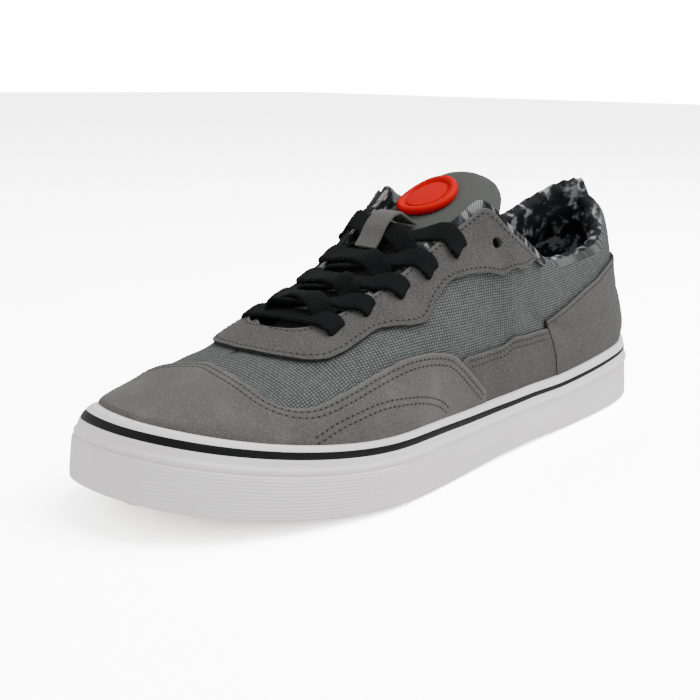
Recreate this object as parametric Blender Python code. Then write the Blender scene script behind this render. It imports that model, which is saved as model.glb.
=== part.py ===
"""Low-top skateboarding shoe for the left foot, built from the pieces a maker would put together.

Metres. The toe points along -Y, the lateral side faces +X, +Z is up and the sole rests on Z = 0.
"along" is a share of the shoe's length, 0 at the back of the heel and 1 at the tip of the toe.
"""

import math
from functools import lru_cache

import bmesh
import bpy
import numpy as np
from mathutils import Vector
from mathutils.bvhtree import BVHTree

# Overall sizes
SHOE_LENGTH = 0.300
BALL_WIDTH = 0.1050
INSTEP_RISE = 0.0700
HEEL_HEIGHT = 0.0900
TOE_SPRING = 0.0130

# Sole
HEEL_SPRING = 0.0018
ARCH_RISE = 0.0008
SIDEWALL_HEIGHT = 0.0245
SIDEWALL_THICKNESS = 0.0030
SIDEWALL_FLARE = 0.0026
SIDEWALL_LIFT = 0.0006
HEEL_RIM_RISE = 0.0022
TOE_RIM_RISE = 0.0015
STRIPE_DEPTH = 0.0006
OUTSOLE_THICKNESS = 0.0050
MIDSOLE_THICKNESS = 0.0065
INSOLE_THICKNESS = 0.0040
INSOLE_CUP = 0.0025
BUMPER_THICKNESS = 0.0008
RIB_HEIGHT = 0.0004
RIB_COUNT = 6

# Upper
UPPER_WALL = 0.0020
COLLAR_PADDING = 0.0060
COLLAR_PAD_DEPTH = 0.030
HEEL_LEAN = 0.0065
OVERLAY_THICKNESS = 0.0012
UNDERLAY_THICKNESS = 0.0008
EYELET_DIAMETER = 0.0044

# Tongue, lace and badge
TONGUE_THICKNESS = 0.0070
TONGUE_EDGE = 0.0018
TONGUE_CLEARANCE = 0.0010
LACE_WIDTH = 0.0085
LACE_THICKNESS = 0.0016
LACE_CLEARANCE = 0.0014
LACE_CROSSING = 0.0011
BADGE_DIAMETER = 0.0245
BADGE_THICKNESS = 0.0014
BADGE_RIM_WIDTH = 0.0022
BADGE_RIM_HEIGHT = 0.0008
LOOP_WIDTH = 0.0110
LOOP_LENGTH = 0.0220
LOOP_THICKNESS = 0.0012

# Clearance between curved pieces that touch, under sewn panels, and from panels to the sidewall
GAP = 0.0003
PANEL_GAP = 0.0005
FOOT_CLEARANCE = 0.0009

# Faceting
STATIONS = 72
WALL_STEPS = 7
END_CROWDING = 0.30

# Sole outline: along, axis and half width as shares of BALL_WIDTH
OUTLINE_ROWS = [
    (0.00, 0.000, 0.000),
    (0.03, 0.000, 0.206),
    (0.08, 0.002, 0.306),
    (0.15, 0.006, 0.357),
    (0.25, 0.021, 0.373),
    (0.35, 0.038, 0.374),
    (0.45, 0.050, 0.383),
    (0.55, 0.049, 0.409),
    (0.65, 0.034, 0.457),
    (0.72, 0.012, 0.485),
    (0.80, -0.016, 0.480),
    (0.88, -0.027, 0.417),
    (0.94, -0.034, 0.330),
    (0.98, -0.040, 0.215),
    (1.00, -0.042, 0.000),
]

# Form of the upper: along, ridge as a share of BALL_WIDTH, crown above the sidewall as a share of
# INSTEP_RISE, squareness of the section, outward lean of the lateral and of the medial wall as
# shares of BALL_WIDTH
FORM_ROWS = [
    (0.000, 0.000, 1.95, 3.20, 0.000, 0.000),
    (0.100, 0.004, 1.90, 3.20, 0.000, 0.000),
    (0.200, 0.012, 1.80, 3.20, 0.000, 0.010),
    (0.300, 0.024, 1.72, 3.10, 0.005, 0.030),
    (0.390, 0.034, 1.62, 3.10, 0.020, 0.050),
    (0.433, 0.036, 1.50, 3.10, 0.022, 0.055),
    (0.467, 0.030, 1.24, 2.90, 0.010, 0.050),
    (0.500, 0.020, 1.09, 2.80, 0.000, 0.040),
    (0.530, 0.010, 0.99, 2.70, 0.000, 0.030),
    (0.570, 0.000, 0.855, 2.55, 0.000, 0.020),
    (0.610, -0.010, 0.730, 2.40, 0.000, 0.010),
    (0.660, -0.024, 0.610, 2.30, 0.000, 0.005),
    (0.710, -0.038, 0.505, 2.20, 0.000, 0.000),
    (0.760, -0.044, 0.395, 2.05, 0.000, 0.000),
    (0.800, -0.048, 0.325, 1.98, 0.000, 0.000),
    (0.840, -0.050, 0.265, 1.95, 0.000, 0.000),
    (0.900, -0.048, 0.190, 2.00, 0.000, 0.000),
    (0.950, -0.044, 0.120, 2.05, 0.000, 0.000),
    (1.000, -0.042, 0.050, 2.10, 0.000, 0.000),
]

# Side view of the heel: height as a share of HEEL_HEIGHT, inward lean as a share of HEEL_LEAN
HEEL_ROWS = [
    (0.28, 0.00),
    (0.36, -0.22),
    (0.46, -0.20),
    (0.56, 0.10),
    (0.66, 0.52),
    (0.76, 0.84),
    (0.86, 1.05),
    (0.96, 1.25),
    (1.10, 1.60),
]

# Opening of the upper: along, half gap over the ridge as a share of BALL_WIDTH, lateral and medial
# edge height as shares of HEEL_HEIGHT
OPENING_ROWS = [
    (0.000, 0.000, 1.090, 1.090),
    (0.030, 0.000, 1.080, 1.090),
    (0.060, 0.000, 1.010, 1.060),
    (0.090, 0.000, 0.900, 1.035),
    (0.120, 0.000, 0.835, 1.000),
    (0.160, 0.000, 0.805, 0.955),
    (0.200, 0.000, 0.795, 0.925),
    (0.277, 0.000, 0.790, 0.890),
    (0.332, 0.000, 0.840, 0.905),
    (0.363, 0.000, 0.900, 0.940),
    (0.397, 0.000, 0.960, 1.000),
    (0.425, 0.000, 1.015, 1.060),
    (0.440, 0.270, 1.045, 1.085),
    (0.455, 0.255, 1.060, 1.100),
    (0.470, 0.238, 1.400, 1.400),
    (0.530, 0.210, 1.400, 1.400),
    (0.570, 0.195, 1.400, 1.400),
    (0.610, 0.185, 1.400, 1.400),
    (0.660, 0.170, 1.400, 1.400),
    (0.700, 0.148, 1.400, 1.400),
    (0.720, 0.120, 1.400, 1.400),
    (0.735, 0.070, 1.400, 1.400),
    (0.742, 0.000, 1.400, 1.400),
]
THROAT_FRONT = OPENING_ROWS[-1][0]

# Profile of the white sidewall: height share, inset as a share of SIDEWALL_FLARE
SIDEWALL_ROWS = [
    (0.000, 0.00),
    (0.620, 0.45),
    (0.640, 0.20),
    (0.690, 0.22),
    (0.720, 0.55),
    (0.800, 0.60),
    (0.890, 0.75),
    (1.000, 1.00),
]
STRIPE_BAND = (0.800, 0.890)
BUMPER_BAND = (0.035, 0.605)
BUMPER_END = 0.683

# Panels sewn on the upper. Each row joins a lower and an upper point, both as along and up,
# where up is 0 at the sidewall and 1 on the ridge
TOE_CAP_ROWS = [
    (0.500, 0.000, 0.500, 0.012),
    (0.520, 0.000, 0.520, 0.040),
    (0.545, 0.000, 0.545, 0.095),
    (0.580, 0.000, 0.580, 0.200),
    (0.625, 0.000, 0.625, 0.290),
    (0.671, 0.000, 0.671, 0.345),
    (0.717, 0.000, 0.717, 0.360),
    (0.770, 0.000, 0.770, 0.345),
    (0.805, 0.000, 0.808, 0.325),
    (0.830, 0.000, 0.838, 0.360),
    (0.850, 0.000, 0.853, 0.450),
    (0.870, 0.000, 0.858, 0.580),
    (0.895, 0.000, 0.862, 0.730),
    (0.920, 0.000, 0.866, 0.880),
    (0.945, 0.000, 0.868, 1.000),
    (0.970, 0.000, 0.930, 1.000),
    (1.000, 0.000, 1.000, 1.000),
]
COUNTER_ROWS = [
    (0.000, 0.000, 0.000, 0.085),
    (0.030, 0.000, 0.030, 0.085),
    (0.110, 0.000, 0.120, 0.083),
    (0.175, 0.000, 0.185, 0.072),
    (0.235, 0.000, 0.253, 0.066),
    (0.280, 0.000, 0.306, 0.062),
    (0.310, 0.000, 0.345, 0.055),
]
SIDE_PANEL_ROWS = [
    (0.316, 0.000, 0.351, 0.046),
    (0.360, 0.000, 0.390, 0.048),
    (0.420, 0.000, 0.440, 0.060),
    (0.470, 0.000, 0.480, 0.084),
    (0.488, 0.008, 0.500, 0.096),
    (0.508, 0.034, 0.520, 0.110),
    (0.532, 0.085, 0.540, 0.125),
    (0.548, 0.122, 0.552, 0.138),
]

# Outer edge of the eyestay: along and up. Its inner edge follows the opening
EYESTAY_ROWS = [
    (0.352, 0.190),
    (0.367, 0.180),
    (0.413, 0.180),
    (0.451, 0.233),
    (0.489, 0.333),
    (0.527, 0.417),
    (0.557, 0.467),
    (0.580, 0.460),
    (0.600, 0.417),
    (0.625, 0.450),
    (0.650, 0.517),
    (0.675, 0.567),
    (0.715, 0.567),
    (0.740, 0.580),
    (0.760, 0.630),
    (0.777, 0.717),
    (0.792, 0.850),
    (0.800, 0.985),
]

# Tongue: along, crown above the sidewall as a share of INSTEP_RISE, half width as a share of
# BALL_WIDTH, sag of its edges as a share of the half width, thickness as a share of
# TONGUE_THICKNESS
TONGUE_ROWS = [
    (0.3880, 1.185, 0.060, 0.10, 0.60),
    (0.3920, 1.180, 0.130, 0.16, 0.80),
    (0.4020, 1.170, 0.195, 0.21, 0.95),
    (0.4180, 1.135, 0.240, 0.25, 1.00),
    (0.4400, 1.085, 0.264, 0.28, 1.00),
    (0.4670, 1.020, 0.268, 0.30, 0.95),
    (0.5000, 0.935, 0.268, 0.30, 0.90),
    (0.5350, 0.845, 0.262, 0.30, 0.80),
    (0.5700, 0.755, 0.255, 0.30, 0.70),
    (0.6100, 0.655, 0.245, 0.30, 0.60),
    (0.6500, 0.565, 0.230, 0.30, 0.50),
    (0.6900, 0.475, 0.210, 0.30, 0.45),
    (0.7300, 0.385, 0.180, 0.30, 0.40),
    (0.7600, 0.310, 0.150, 0.30, 0.35),
]

# Eyelet pairs from the toe up: along and up
EYELET_ROWS = [
    (0.711, 0.715),
    (0.663, 0.695),
    (0.615, 0.640),
    (0.572, 0.600),
    (0.527, 0.550),
    (0.466, 0.385),
]
BADGE_ALONG = 0.4600
LOOP_ALONG = 0.5480


# Insets from the outline
SIDEWALL_INSET = BUMPER_THICKNESS + RIB_HEIGHT + GAP
UPPER_INSET = SIDEWALL_INSET + SIDEWALL_FLARE + SIDEWALL_THICKNESS + GAP
MIDSOLE_INSET = UPPER_INSET + UPPER_WALL + 2 * GAP


class ClosedCurve:
    """A smooth closed curve through a few rows, read by its share of the way round, 0 to 1."""

    def __init__(self, rows, scale):
        points = np.array(rows + rows[:1], float)
        step = np.linalg.norm(np.diff(points * scale, axis=0), axis=1)
        self.points = points
        self.knots = np.concatenate([[0.0], np.cumsum(step)]) / step.sum()
        self.slopes = self.smooth_slopes()

    def smooth_slopes(self):
        """Slopes at the rows that make the curvature run on through them."""
        count = len(self.points) - 1
        gap = np.diff(self.knots)
        chord = np.diff(self.points, axis=0) / gap[:, None]
        matrix = np.zeros((count, count))
        right = np.zeros((count, self.points.shape[1]))
        for i in range(count):
            before, after = gap[i - 1], gap[i]
            matrix[i, i - 1] = after
            matrix[i, i] = 2 * (before + after)
            matrix[i, (i + 1) % count] = before
            right[i] = 3 * (after * chord[i - 1] + before * chord[i])
        slopes = np.linalg.solve(matrix, right)
        return np.vstack([slopes, slopes[:1]])

    @lru_cache(maxsize=None)
    def at(self, share):
        share = share % 1.0
        i = min(int(np.searchsorted(self.knots, share, side="right")) - 1, len(self.knots) - 2)
        width = self.knots[i + 1] - self.knots[i]
        s = (share - self.knots[i]) / width
        return (
            (1 + 2 * s) * (1 - s) ** 2 * self.points[i]
            + s * (1 - s) ** 2 * width * self.slopes[i]
            + s * s * (3 - 2 * s) * self.points[i + 1]
            + s * s * (s - 1) * width * self.slopes[i + 1]
        )


def table_value(rows, at, column):
    """A column of a table, read between its rows by a smooth curve that doesn't overshoot."""
    if rows[0][0] > rows[-1][0]:
        rows = rows[::-1]
    keys = [row[0] for row in rows]
    values = [row[column] for row in rows]
    if at <= keys[0]:
        return values[0]
    if at >= keys[-1]:
        return values[-1]
    i = max(k for k in range(len(keys) - 1) if keys[k] <= at)
    chords = [
        (values[k + 1] - values[k]) / (keys[k + 1] - keys[k]) if 0 <= k < len(keys) - 1 else None
        for k in (i - 1, i, i + 1)
    ]

    def slope(first, second):
        if first is None or second is None:
            return chords[1]
        if first * second <= 0:
            return 0.0
        return 2 * first * second / (first + second)

    width = keys[i + 1] - keys[i]
    s = (at - keys[i]) / width
    start, end = slope(chords[0], chords[1]), slope(chords[1], chords[2])
    return (
        (1 + 2 * s) * (1 - s) ** 2 * values[i]
        + s * (1 - s) ** 2 * width * start
        + s * s * (3 - 2 * s) * values[i + 1]
        + s * s * (s - 1) * width * end
    )


def ease(value, low, high):
    """0 before low, 1 after high, and a smooth step between."""
    s = min(max((value - low) / (high - low), 0.0), 1.0)
    return s * s * (3 - 2 * s)


def outline_loop():
    """The table's rows up the lateral side, then down the medial side with the width reversed."""
    lateral = [tuple(row) for row in OUTLINE_ROWS]
    medial = [(along, axis, -half) for along, axis, half in OUTLINE_ROWS[-2:0:-1]]
    return ClosedCurve(lateral + medial, np.array([SHOE_LENGTH, BALL_WIDTH, BALL_WIDTH]))


OUTLINE = outline_loop()


def place(along):
    """Y of a share of the length. The bumper makes the toe longer, so the middle moves back."""
    return SHOE_LENGTH * (0.5 - along) + SIDEWALL_INSET / 2


def along_of(y):
    return 0.5 - (y - SIDEWALL_INSET / 2) / SHOE_LENGTH


def outline_point(way):
    """A point of the sole's outline. way is 0 at the heel, 0.5 at the toe, and back to 1."""
    along, axis, half = OUTLINE.at(way)
    return np.array([(axis + half) * BALL_WIDTH, place(along)])


def inset_point(way, inset):
    """The outline moved in square to itself."""
    step = 1e-4
    direction = outline_point(way + step) - outline_point(way - step)
    direction /= np.linalg.norm(direction)
    inward = np.array([direction[1], -direction[0]])
    return outline_point(way) + inset * inward


def ground(along):
    """Height of the sole's underside: a toe spring, a low arch and a lifted back edge."""
    toe = max(0.0, (along - 0.66) / 0.34)
    heel = max(0.0, (0.10 - along) / 0.10)
    arch = ease(along, 0.30, 0.40) * (1 - ease(along, 0.46, 0.57))
    return TOE_SPRING * toe * toe + HEEL_SPRING * heel * heel + ARCH_RISE * arch


def rim(along):
    """Height of the sidewall's upper edge."""
    heel = HEEL_RIM_RISE * (1 - ease(along, 0.0, 0.45))
    toe = TOE_RIM_RISE * ease(along, 0.7, 1.0)
    return ground(along) + SIDEWALL_HEIGHT + heel + toe


def sidewall_height(along):
    return rim(along) - ground(along) - SIDEWALL_LIFT


UPPER_FOOT = OUTSOLE_THICKNESS + GAP


def squeezed(along):
    """Where a rib that starts at this share meets the ridge: ribs fan out at the toe and heel."""
    toe, heel = 0.72, 0.20
    if along > toe:
        return along - (along - toe) ** 2 / (2 * (1 - toe))
    if along < heel:
        return along + (heel - along) ** 2 / (2 * heel)
    return along


def crown(along):
    return rim(along) + INSTEP_RISE * table_value(FORM_ROWS, along, 2)


@lru_cache(maxsize=None)
def form_base(way, up):
    """A point of the upper's outer form, before it is lifted or sunk."""
    along = OUTLINE.at(way)[0]
    foot = inset_point(way, UPPER_INSET)
    centre_along = squeezed(along)
    centre = np.array([ridge(centre_along), place(centre_along)])
    edge = rim(along)
    if up <= 0:
        low = ground(along) + UPPER_FOOT
        return np.array([foot[0], foot[1], edge + (edge - low) * up])
    power = 2 / table_value(FORM_ROWS, centre_along, 3)
    angle = min(up, 1.0) * math.pi / 2
    flat = centre + (foot - centre) * max(math.cos(angle), 0.0) ** power
    height = edge + (crown(along_of(flat[1])) - edge) * math.sin(angle) ** power
    rear = 1 - ease(along, 0.22, 0.50)
    lean = HEEL_LEAN * rear * table_value(HEEL_ROWS, height / HEEL_HEIGHT, 1)
    side = 4 if way % 1.0 < 0.5 else 5
    splay = table_value(FORM_ROWS, centre_along, side) * BALL_WIDTH
    tall = min((height - edge) / (HEEL_HEIGHT - SIDEWALL_HEIGHT), 1.0)
    lean -= splay * tall * math.cos(angle) ** power
    inward = centre - foot
    flat = flat + inward / np.linalg.norm(inward) * lean
    return np.array([flat[0], flat[1], height])


def ridge(along):
    return table_value(FORM_ROWS, along, 1) * BALL_WIDTH


@lru_cache(maxsize=None)
def form_normal(way, up):
    """The form's outward direction. On the ridge it is the same from both sides."""
    step = 2e-3
    if up >= 1.0:
        along = squeezed(OUTLINE.at(way)[0])
        rise = crown(along - step) - crown(along + step)
        run = place(along - step) - place(along + step)
        return np.array([0.0, -rise, run]) / math.hypot(rise, run)
    up = min(up, 1 - 2 * step)
    across = form_base(way + step, up) - form_base(way - step, up)
    along = form_base(way, up + step) - form_base(way, up - step)
    normal = np.cross(along, across)
    return normal / max(np.linalg.norm(normal), 1e-12)


def form(way, up, lift=0.0):
    """A point of the upper's form, lifted square to it."""
    return form_base(way, up) + form_normal(way, up) * lift


def way_of(along, medial=False):
    """The way round the outline at which it has this share of the length."""
    low, high = 0.0, 0.5
    for _ in range(40):
        middle = (low + high) / 2
        if OUTLINE.at(middle)[0] < along:
            low = middle
        else:
            high = middle
    return 1 - (low + high) / 2 if medial else (low + high) / 2


def between(way, start, end, share):
    """A share of the way from one up to another along a rib, in steps of even height."""
    bend = table_value(FORM_ROWS, squeezed(OUTLINE.at(way)[0]), 3) / 2
    start, end = max(start, 0.0) ** (1 / bend), max(end, 0.0) ** (1 / bend)
    return (start + (end - start) * share) ** bend


def collar_padding(along):
    """Extra thickness at the edge: full round the ankle, none along the throat."""
    return COLLAR_PADDING * (1 - ease(along, 0.35, 0.43))


@lru_cache(maxsize=None)
def edge_up(way):
    """How far up its rib the upper reaches: to the ridge, the eyestay's edge or the collar."""
    if squeezed(OUTLINE.at(way)[0]) >= THROAT_FRONT:
        return 1.0
    column = 2 if way % 1.0 < 0.5 else 3
    low, high = 0.05, 1.0
    for _ in range(24):
        middle = (low + high) / 2
        point = form_base(way, middle)
        along = along_of(point[1])
        half_gap = table_value(OPENING_ROWS, along, 1) * BALL_WIDTH
        limit = table_value(OPENING_ROWS, along, column) * HEEL_HEIGHT
        limit -= (UPPER_WALL + collar_padding(along)) / 2
        beside = along < 0.3 or abs(point[0] - ridge(along)) > half_gap
        if beside and point[2] < limit:
            low = middle
        else:
            high = middle
    return (low + high) / 2


def padding(way, up, top):
    """Thickness of the wall: a padded collar round the ankle that thins out downwards."""
    along = along_of(form_base(way, top)[1])
    reach = np.linalg.norm(form_base(way, top) - form_base(way, up))
    thinning = ease(reach, 0.3 * COLLAR_PAD_DEPTH, COLLAR_PAD_DEPTH)
    return UPPER_WALL + collar_padding(along) * (1 - thinning)


@lru_cache(maxsize=None)
def foot_up(way):
    """Where a panel starts on its rib: just clear of the sidewall's rim."""
    low, high = 0.0, 0.5
    for _ in range(24):
        middle = (low + high) / 2
        if form_base(way, middle)[2] < rim(OUTLINE.at(way)[0]) + FOOT_CLEARANCE:
            low = middle
        else:
            high = middle
    return high


# Meshes


def new_object(name, mesh, colour, roughness):
    material = bpy.data.materials.get(name) or bpy.data.materials.new(name)
    material.use_nodes = True
    shader = material.node_tree.nodes["Principled BSDF"]
    shader.inputs["Base Color"].default_value = (*colour, 1.0)
    shader.inputs["Roughness"].default_value = roughness
    shader.inputs["Metallic"].default_value = 0.0
    mesh.materials.append(material)
    piece = bpy.data.objects.new(name, mesh)
    bpy.context.scene.collection.objects.link(piece)
    return piece


def finish(bm, name, colour, roughness, smooth=40):
    """Welds what coincides, points the faces out and makes the object."""
    bmesh.ops.remove_doubles(bm, verts=bm.verts, dist=1e-6)
    bmesh.ops.dissolve_degenerate(bm, edges=bm.edges, dist=1e-6)
    bmesh.ops.recalc_face_normals(bm, faces=bm.faces)
    mesh = bpy.data.meshes.new(name)
    bm.to_mesh(mesh)
    bm.free()
    mesh.shade_smooth()
    mesh.set_sharp_from_angle(angle=math.radians(smooth))
    return new_object(name, mesh, colour, roughness)


def add_grid(bm, rows, close_rows=False, close_columns=False):
    """Quads over rows of points. Returns the rows of vertices."""
    verts = [[bm.verts.new(Vector(point)) for point in row] for row in rows]
    row_count, column_count = len(verts), len(verts[0])
    for i in range(row_count if close_rows else row_count - 1):
        for j in range(column_count if close_columns else column_count - 1):
            a, b = verts[i], verts[(i + 1) % row_count]
            k = (j + 1) % column_count
            bm.faces.new((a[j], b[j], b[k], a[k]))
    return verts


def add_slab(bm, outer, inner):
    """A closed solid between two grids of the same size."""
    top = add_grid(bm, outer)
    bottom = add_grid(bm, inner)

    def border(grid):
        last = len(grid[0]) - 1
        return (
            [grid[0][j] for j in range(last)]
            + [grid[i][last] for i in range(len(grid) - 1)]
            + [grid[-1][j] for j in range(last, 0, -1)]
            + [grid[i][0] for i in range(len(grid) - 1, 0, -1)]
        )

    first, second = border(top), border(bottom)
    for i in range(len(first)):
        j = (i + 1) % len(first)
        bm.faces.new((first[i], first[j], second[j], second[i]))


@lru_cache(maxsize=None)
def stations():
    """Ways round the outline, closer together at the toe and heel, in pairs that lie at the same
    share of the length on both sides."""
    lateral = []
    for i in range(STATIONS // 2 + 1):
        share = i / STATIONS
        lateral.append(share - END_CROWDING * math.sin(4 * math.pi * share) / (4 * math.pi))
    medial = [way_of(OUTLINE.at(way)[0], medial=True) for way in lateral[-2:0:-1]]
    return lateral + medial


# Sole


def sole_slab(name, inset, low, thickness, colour, roughness, cup=0.0):
    """A layer of the sole: the outline moved in, following the toe spring."""
    bm = bmesh.new()
    rings = []
    for level, share in ((0.0, 1.0), (thickness, 1.0), (thickness - cup, 0.88)):
        if share < 1.0 and cup == 0.0:
            continue
        ring = []
        for way in stations():
            point = inset_point(way, inset)
            axis = OUTLINE.at(way)[1] * BALL_WIDTH
            across = axis + (point[0] - axis) * share
            lengthways = point[1] * (1 - (1 - share) * 0.4)
            z = ground(along_of(lengthways)) + low + level
            ring.append((across, lengthways, z))
        rings.append(ring)
    verts = add_grid(bm, rings, close_columns=True)
    half = STATIONS // 2
    for ring in (verts[0], verts[-1]):
        for i in range(half):
            a, b = ring[i], ring[i + 1]
            c, d = ring[(STATIONS - i - 1) % STATIONS], ring[(STATIONS - i) % STATIONS]
            corners = [a, b, c, d]
            face = [v for k, v in enumerate(corners) if v not in corners[:k]]
            if len(face) > 2:
                bm.faces.new(face)
    return finish(bm, name, colour, roughness)


def ring_solid(name, profile, colour, roughness, ways=None, smooth=40):
    """A band swept round the outline. profile(way) gives a closed loop of (inset, height)."""
    bm = bmesh.new()
    closed = ways is None
    rows = []
    for way in stations() if closed else ways:
        row = []
        for inset, height in profile(way):
            x, y = inset_point(way, inset)
            row.append((x, y, height))
        rows.append(row)
    verts = add_grid(bm, rows, close_rows=closed, close_columns=True)
    if not closed:
        bm.faces.new(verts[0][::-1])
        bm.faces.new(verts[-1])
    return finish(bm, name, colour, roughness, smooth)


def wall_inset(share):
    """Inset of the sidewall's outer face at a share of its height."""
    return SIDEWALL_INSET + SIDEWALL_FLARE * float(np.interp(share, *zip(*SIDEWALL_ROWS)))


def sidewall_profile(way):
    """Outer side from the floor to the rim with the groove of the stripe, then the inner side."""
    along = OUTLINE.at(way)[0]
    base, height = ground(along) + SIDEWALL_LIFT, sidewall_height(along)
    low, high = STRIPE_BAND
    steps = [(share, 0.0) for share, _ in SIDEWALL_ROWS if share < low]
    steps += [(low, 0.0), (low, STRIPE_DEPTH + GAP), (high, STRIPE_DEPTH + GAP), (high, 0.0)]
    steps += [(share, 0.0) for share, _ in SIDEWALL_ROWS if share > high]
    loop = [(wall_inset(share) + depth, base + height * share) for share, depth in steps]
    inner = UPPER_INSET - GAP
    loop.append((inner, base + height))
    loop.append((inner, base))
    return loop


def stripe_profile(way):
    along = OUTLINE.at(way)[0]
    base, height = ground(along) + SIDEWALL_LIFT, sidewall_height(along)
    low, high = STRIPE_BAND
    first, last = wall_inset(low), wall_inset(high)
    bottom, top = base + height * low + GAP, base + height * high - GAP
    return [
        (first - GAP, bottom),
        (last - GAP, top),
        (last + STRIPE_DEPTH, top),
        (first + STRIPE_DEPTH, bottom),
    ]


def bumper_profile(way):
    """Ribbed strip round the toe: crests and valleys outside, flat against the sidewall."""
    along = OUTLINE.at(way)[0]
    base, height = ground(along) + SIDEWALL_LIFT, sidewall_height(along)
    low, high = BUMPER_BAND
    loop = []
    for rib in range(RIB_COUNT):
        for part, depth in ((0.0, RIB_HEIGHT), (0.5, 0.0)):
            share = low + (high - low) * (rib + part) / RIB_COUNT
            crest = wall_inset(share) - GAP - BUMPER_THICKNESS - RIB_HEIGHT
            loop.append((crest + depth, base + height * share))
    loop.append((wall_inset(high) - GAP - BUMPER_THICKNESS, base + height * high))
    loop.append((wall_inset(high) - GAP, base + height * high))
    loop.append((wall_inset(low) - GAP, base + height * low))
    return loop


def build_sole():
    white, black = (0.80, 0.79, 0.79), (0.02, 0.02, 0.022)
    sole_slab("outsole", UPPER_INSET, 0.0, OUTSOLE_THICKNESS, white, 0.7)
    sole_slab("midsole", MIDSOLE_INSET, OUTSOLE_THICKNESS + GAP, MIDSOLE_THICKNESS, (0.75, 0.74, 0.70), 0.8)
    low = OUTSOLE_THICKNESS + MIDSOLE_THICKNESS + 2 * GAP
    sole_slab("insole", MIDSOLE_INSET + GAP, low, INSOLE_THICKNESS, (0.05, 0.05, 0.055), 0.9, cup=INSOLE_CUP)
    ring_solid("sidewall", sidewall_profile, white, 0.55)
    ring_solid("stripe", stripe_profile, black, 0.5)
    start, end = way_of(BUMPER_END), way_of(BUMPER_END, medial=True)
    margin = 0.3 / STATIONS
    ways = [start] + [way for way in stations() if start + margin < way < end - margin] + [end]
    ring_solid("toe_bumper", bumper_profile, white, 0.6, ways, smooth=20)


# Upper


def build_upper():
    """One hollow wall: outer form, padded inner side and a rolled edge, cut by the eyelets."""
    bm = bmesh.new()
    levels = [-1.0]
    outer, inner, tops, closed = [], [], [], []
    for way in stations():
        top = edge_up(way)
        ups = levels + [between(way, 0.0, top, i / WALL_STEPS) for i in range(WALL_STEPS + 1)]
        outer.append([form(way, up) for up in ups])
        inner.append([form(way, up, -padding(way, up, top)) for up in ups])
        tops.append(top)
        closed.append(top >= 1.0)
    outer_verts = add_grid(bm, outer, close_rows=True)
    inner_verts = add_grid(bm, inner, close_rows=True)
    steps = 3
    rolls = []
    for i in range(STATIONS):
        a, b = outer_verts[i][-1].co, inner_verts[i][-1].co
        if closed[i]:
            rolls.append(None)
            continue
        middle, half = (a + b) / 2, (a - b) / 2
        rise = (a - outer_verts[i][-2].co).normalized() * half.length
        ring = [outer_verts[i][-1]]
        for k in range(1, steps + 1):
            angle = math.pi * k / (steps + 1)
            ring.append(bm.verts.new(middle + half * math.cos(angle) + rise * math.sin(angle)))
        rolls.append(ring + [inner_verts[i][-1]])
    for i in range(STATIONS):
        j = (i + 1) % STATIONS
        bm.faces.new((outer_verts[i][0], outer_verts[j][0], inner_verts[j][0], inner_verts[i][0]))
        first, second = rolls[i], rolls[j]
        if first and second:
            for k in range(len(first) - 1):
                bm.faces.new((first[k], second[k], second[k + 1], first[k + 1]))
        elif first or second:
            ring = first or second
            lone = j if first else i
            bm.faces.new((*ring, inner_verts[lone][-1], outer_verts[lone][-1]))
    return finish(bm, "upper", (0.16, 0.165, 0.162), 0.9)


def eyelet_frames():
    """Centre and direction of each eyelet hole: pairs from the toe up, lateral then medial."""
    frames = []
    for along, up in EYELET_ROWS:
        for medial in (False, True):
            way = way_of(along, medial)
            frames.append((Vector(form_base(way, up)), Vector(form_normal(way, up))))
    return frames


def build_eyelet_cutter():
    bm = bmesh.new()
    for centre, normal in eyelet_frames():
        turn = normal.to_track_quat("Z", "Y").to_matrix().to_4x4()
        turn.translation = centre
        bmesh.ops.create_cone(
            bm, cap_ends=True, segments=8, radius1=EYELET_DIAMETER / 2, radius2=EYELET_DIAMETER / 2,
            depth=6 * UPPER_WALL, matrix=turn,
        )
    cutter = finish(bm, "eyelet_cutter", (0.5, 0.5, 0.5), 0.5)
    cutter.hide_render = True
    cutter.display_type = "WIRE"
    return cutter


def cut(piece, cutter):
    modifier = piece.modifiers.new("eyelets", "BOOLEAN")
    modifier.operation = "DIFFERENCE"
    modifier.solver = "EXACT"
    modifier.object = cutter


# Panels sewn on the upper


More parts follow.
